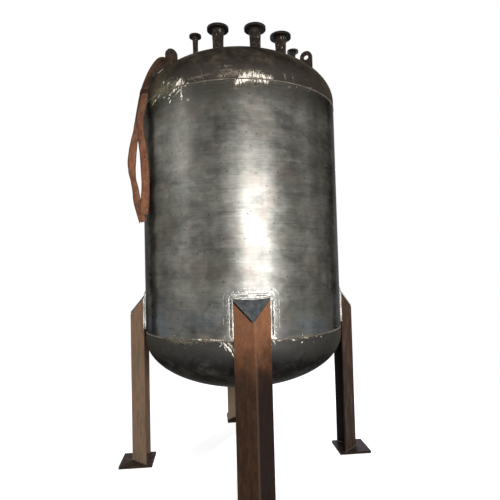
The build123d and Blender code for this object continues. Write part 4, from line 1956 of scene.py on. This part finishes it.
@dataclass
class Studio:
    """Camera, lamps, world and floor.

    Attributes:
        distance: Metres in plan from the axis to the camera.
        swing: Radians that the camera stands off the front.
        eye_height: Its height, in metres.
        yaw: Radians that it looks past the axis.
        pitch: Radians that it looks up.
        roll: Radians that it is rolled.
        lens: Its focal length over a sensor 36 mm wide, in millimetres.
        fill: Strength of the world's light.
        lamps: The lamps.
    """

    distance: float = 3.14382
    swing: float = 0.0706
    eye_height: float = 1.3249
    yaw: float = 0.0189
    pitch: float = 0.0393
    roll: float = -0.0258
    lens: float = 31.368
    fill: float = 0.32
    lamps: tuple[Lamp, ...] = (
        Lamp("window_right", 11.8, 4.6, 1.72, (2.7, 1.5), 230.0, 1.5, "#fbfbff"),
        Lamp("window_left", -66.0, 4.4, 3.1, (1.5, 0.9), 24.0, 2.1, "#f6faff"),
        Lamp("window_back", 156.0, 3.8, 2.9, (0.5, 1.5), 150.0, 2.0, "#dfdfff"))

    def camera(self) -> None:
        """Set the camera at the photograph's viewing angle."""
        spot = Vector((-self.distance * math.sin(self.swing),
                       -self.distance * math.cos(self.swing), self.eye_height))
        aim = (Matrix.Rotation(-(self.yaw + self.swing), 4, "Z")
               @ Matrix.Rotation(math.pi / 2 + self.pitch, 4, "X")
               @ Matrix.Rotation(self.roll, 4, "Z"))
        camera = added(bpy.ops.object.camera_add, "photo_camera", location=spot,
                       rotation=aim.to_euler())
        camera.data.sensor_width = 36.0
        camera.data.lens = self.lens
        bpy.context.scene.camera = camera

    @staticmethod
    def seen_directly(tree: bpy.types.NodeTree) -> Socket:
        """Return a mask of the rays that show a white background.

        Args:
            tree: Node tree that gets the nodes.

        Returns:
            1 for camera, glossy and transmission rays, 0 for the others.
        """
        paths = add_node(tree, "LightPath").node.outputs
        seen = add_node(tree, "Math", paths["Is Camera Ray"], paths["Is Glossy Ray"],
                        operation="MAXIMUM")
        return add_node(tree, "Math", seen, paths["Is Transmission Ray"], operation="MAXIMUM")

    def world(self) -> None:
        """Set a white background for what sees it directly, and a grey fill for the rest."""
        world = bpy.data.worlds.new("studio")
        bpy.context.scene.world = world
        world.use_nodes = True
        tree = world.node_tree
        tree.nodes.clear()
        grey = add_node(tree, "Background", "#ffffff", self.fill)
        white = add_node(tree, "Background", "#ffffff", 1.0)
        add_node(tree, "OutputWorld",
                 add_node(tree, "MixShader", self.seen_directly(tree), grey, white))

    def floor(self) -> None:
        """Lay a plain pale floor that keeps the tank's shadow."""
        floor = added(bpy.ops.mesh.primitive_plane_add, "floor", size=24.0,
                      location=(0.0, 0.0, 0.0))
        material = bpy.data.materials.new("pale floor")
        material.use_nodes = True
        material.node_tree.nodes.clear()
        add = partial(add_node, material.node_tree)
        near = add("AddShader", add("BsdfDiffuse", "#f4f4f2"), add("Emission", "#ffffff", 0.66))
        far = add("VectorMath", add("TexCoord", out="Object"), out="Value", operation="LENGTH")
        fade = add("MapRange", far, 1.5, 3.6, **SOFT)
        pale = add("MixShader", fade, near, add("Emission", "#ffffff", 1.0))
        both = add("MixShader", self.seen_directly(material.node_tree),
                   add("BsdfDiffuse", "#8a8987"), pale)
        add("OutputMaterial", both)
        floor.data.materials.append(material)
        floor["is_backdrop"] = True

    def build(self) -> None:
        """Set up the whole studio."""
        bpy.context.scene.view_settings.view_transform = "Standard"
        self.camera()
        self.world()
        self.floor()
        for lamp in self.lamps:
            lamp.hang()
        LOG.info("studio set")


def main() -> dict:
    """Build every sub-assembly in order.

    Returns:
        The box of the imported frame.
    """
    low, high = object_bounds()
    frame_box = {"frame": [list(low), list(high)]}
    noise.seed_set(WAVER_SEED)
    Studio().build()
    Sling().build()
    tank, legs, fittings = TankWall(), LegSet(), TopFittings()
    for group in (tank, legs, fittings):
        group.dress()
    straw_bead = WeldMetal("weld bead with straw heat tint", "#3a342d", "#574d42", "#8b8171",
                           0.20, 0.6, 0.46).build()
    bright_bead = WeldMetal("wire brushed weld bead", "#6f6b64", "#aeaaa0", "#f4f1ea",
                            0.5, 0.85, 0.32).build()
    dull_bead = WeldMetal("weld bead with dark oxide", "#2e2a26", "#4c443b", "#8d8678",
                          0.3, 0.6, 0.42).build()
    tank.seams(straw_bead)
    legs.welds(bright_bead, dull_bead)
    fittings.welds(dull_bead)
    fittings.spatter(bright_bead)
    return frame_box


if __name__ == "__main__":
    logging.basicConfig(level=logging.INFO, format="%(name)s %(message)s")
    boxes = main()
    lowest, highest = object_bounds()
    boxes["visual"] = [list(lowest), list(highest)]
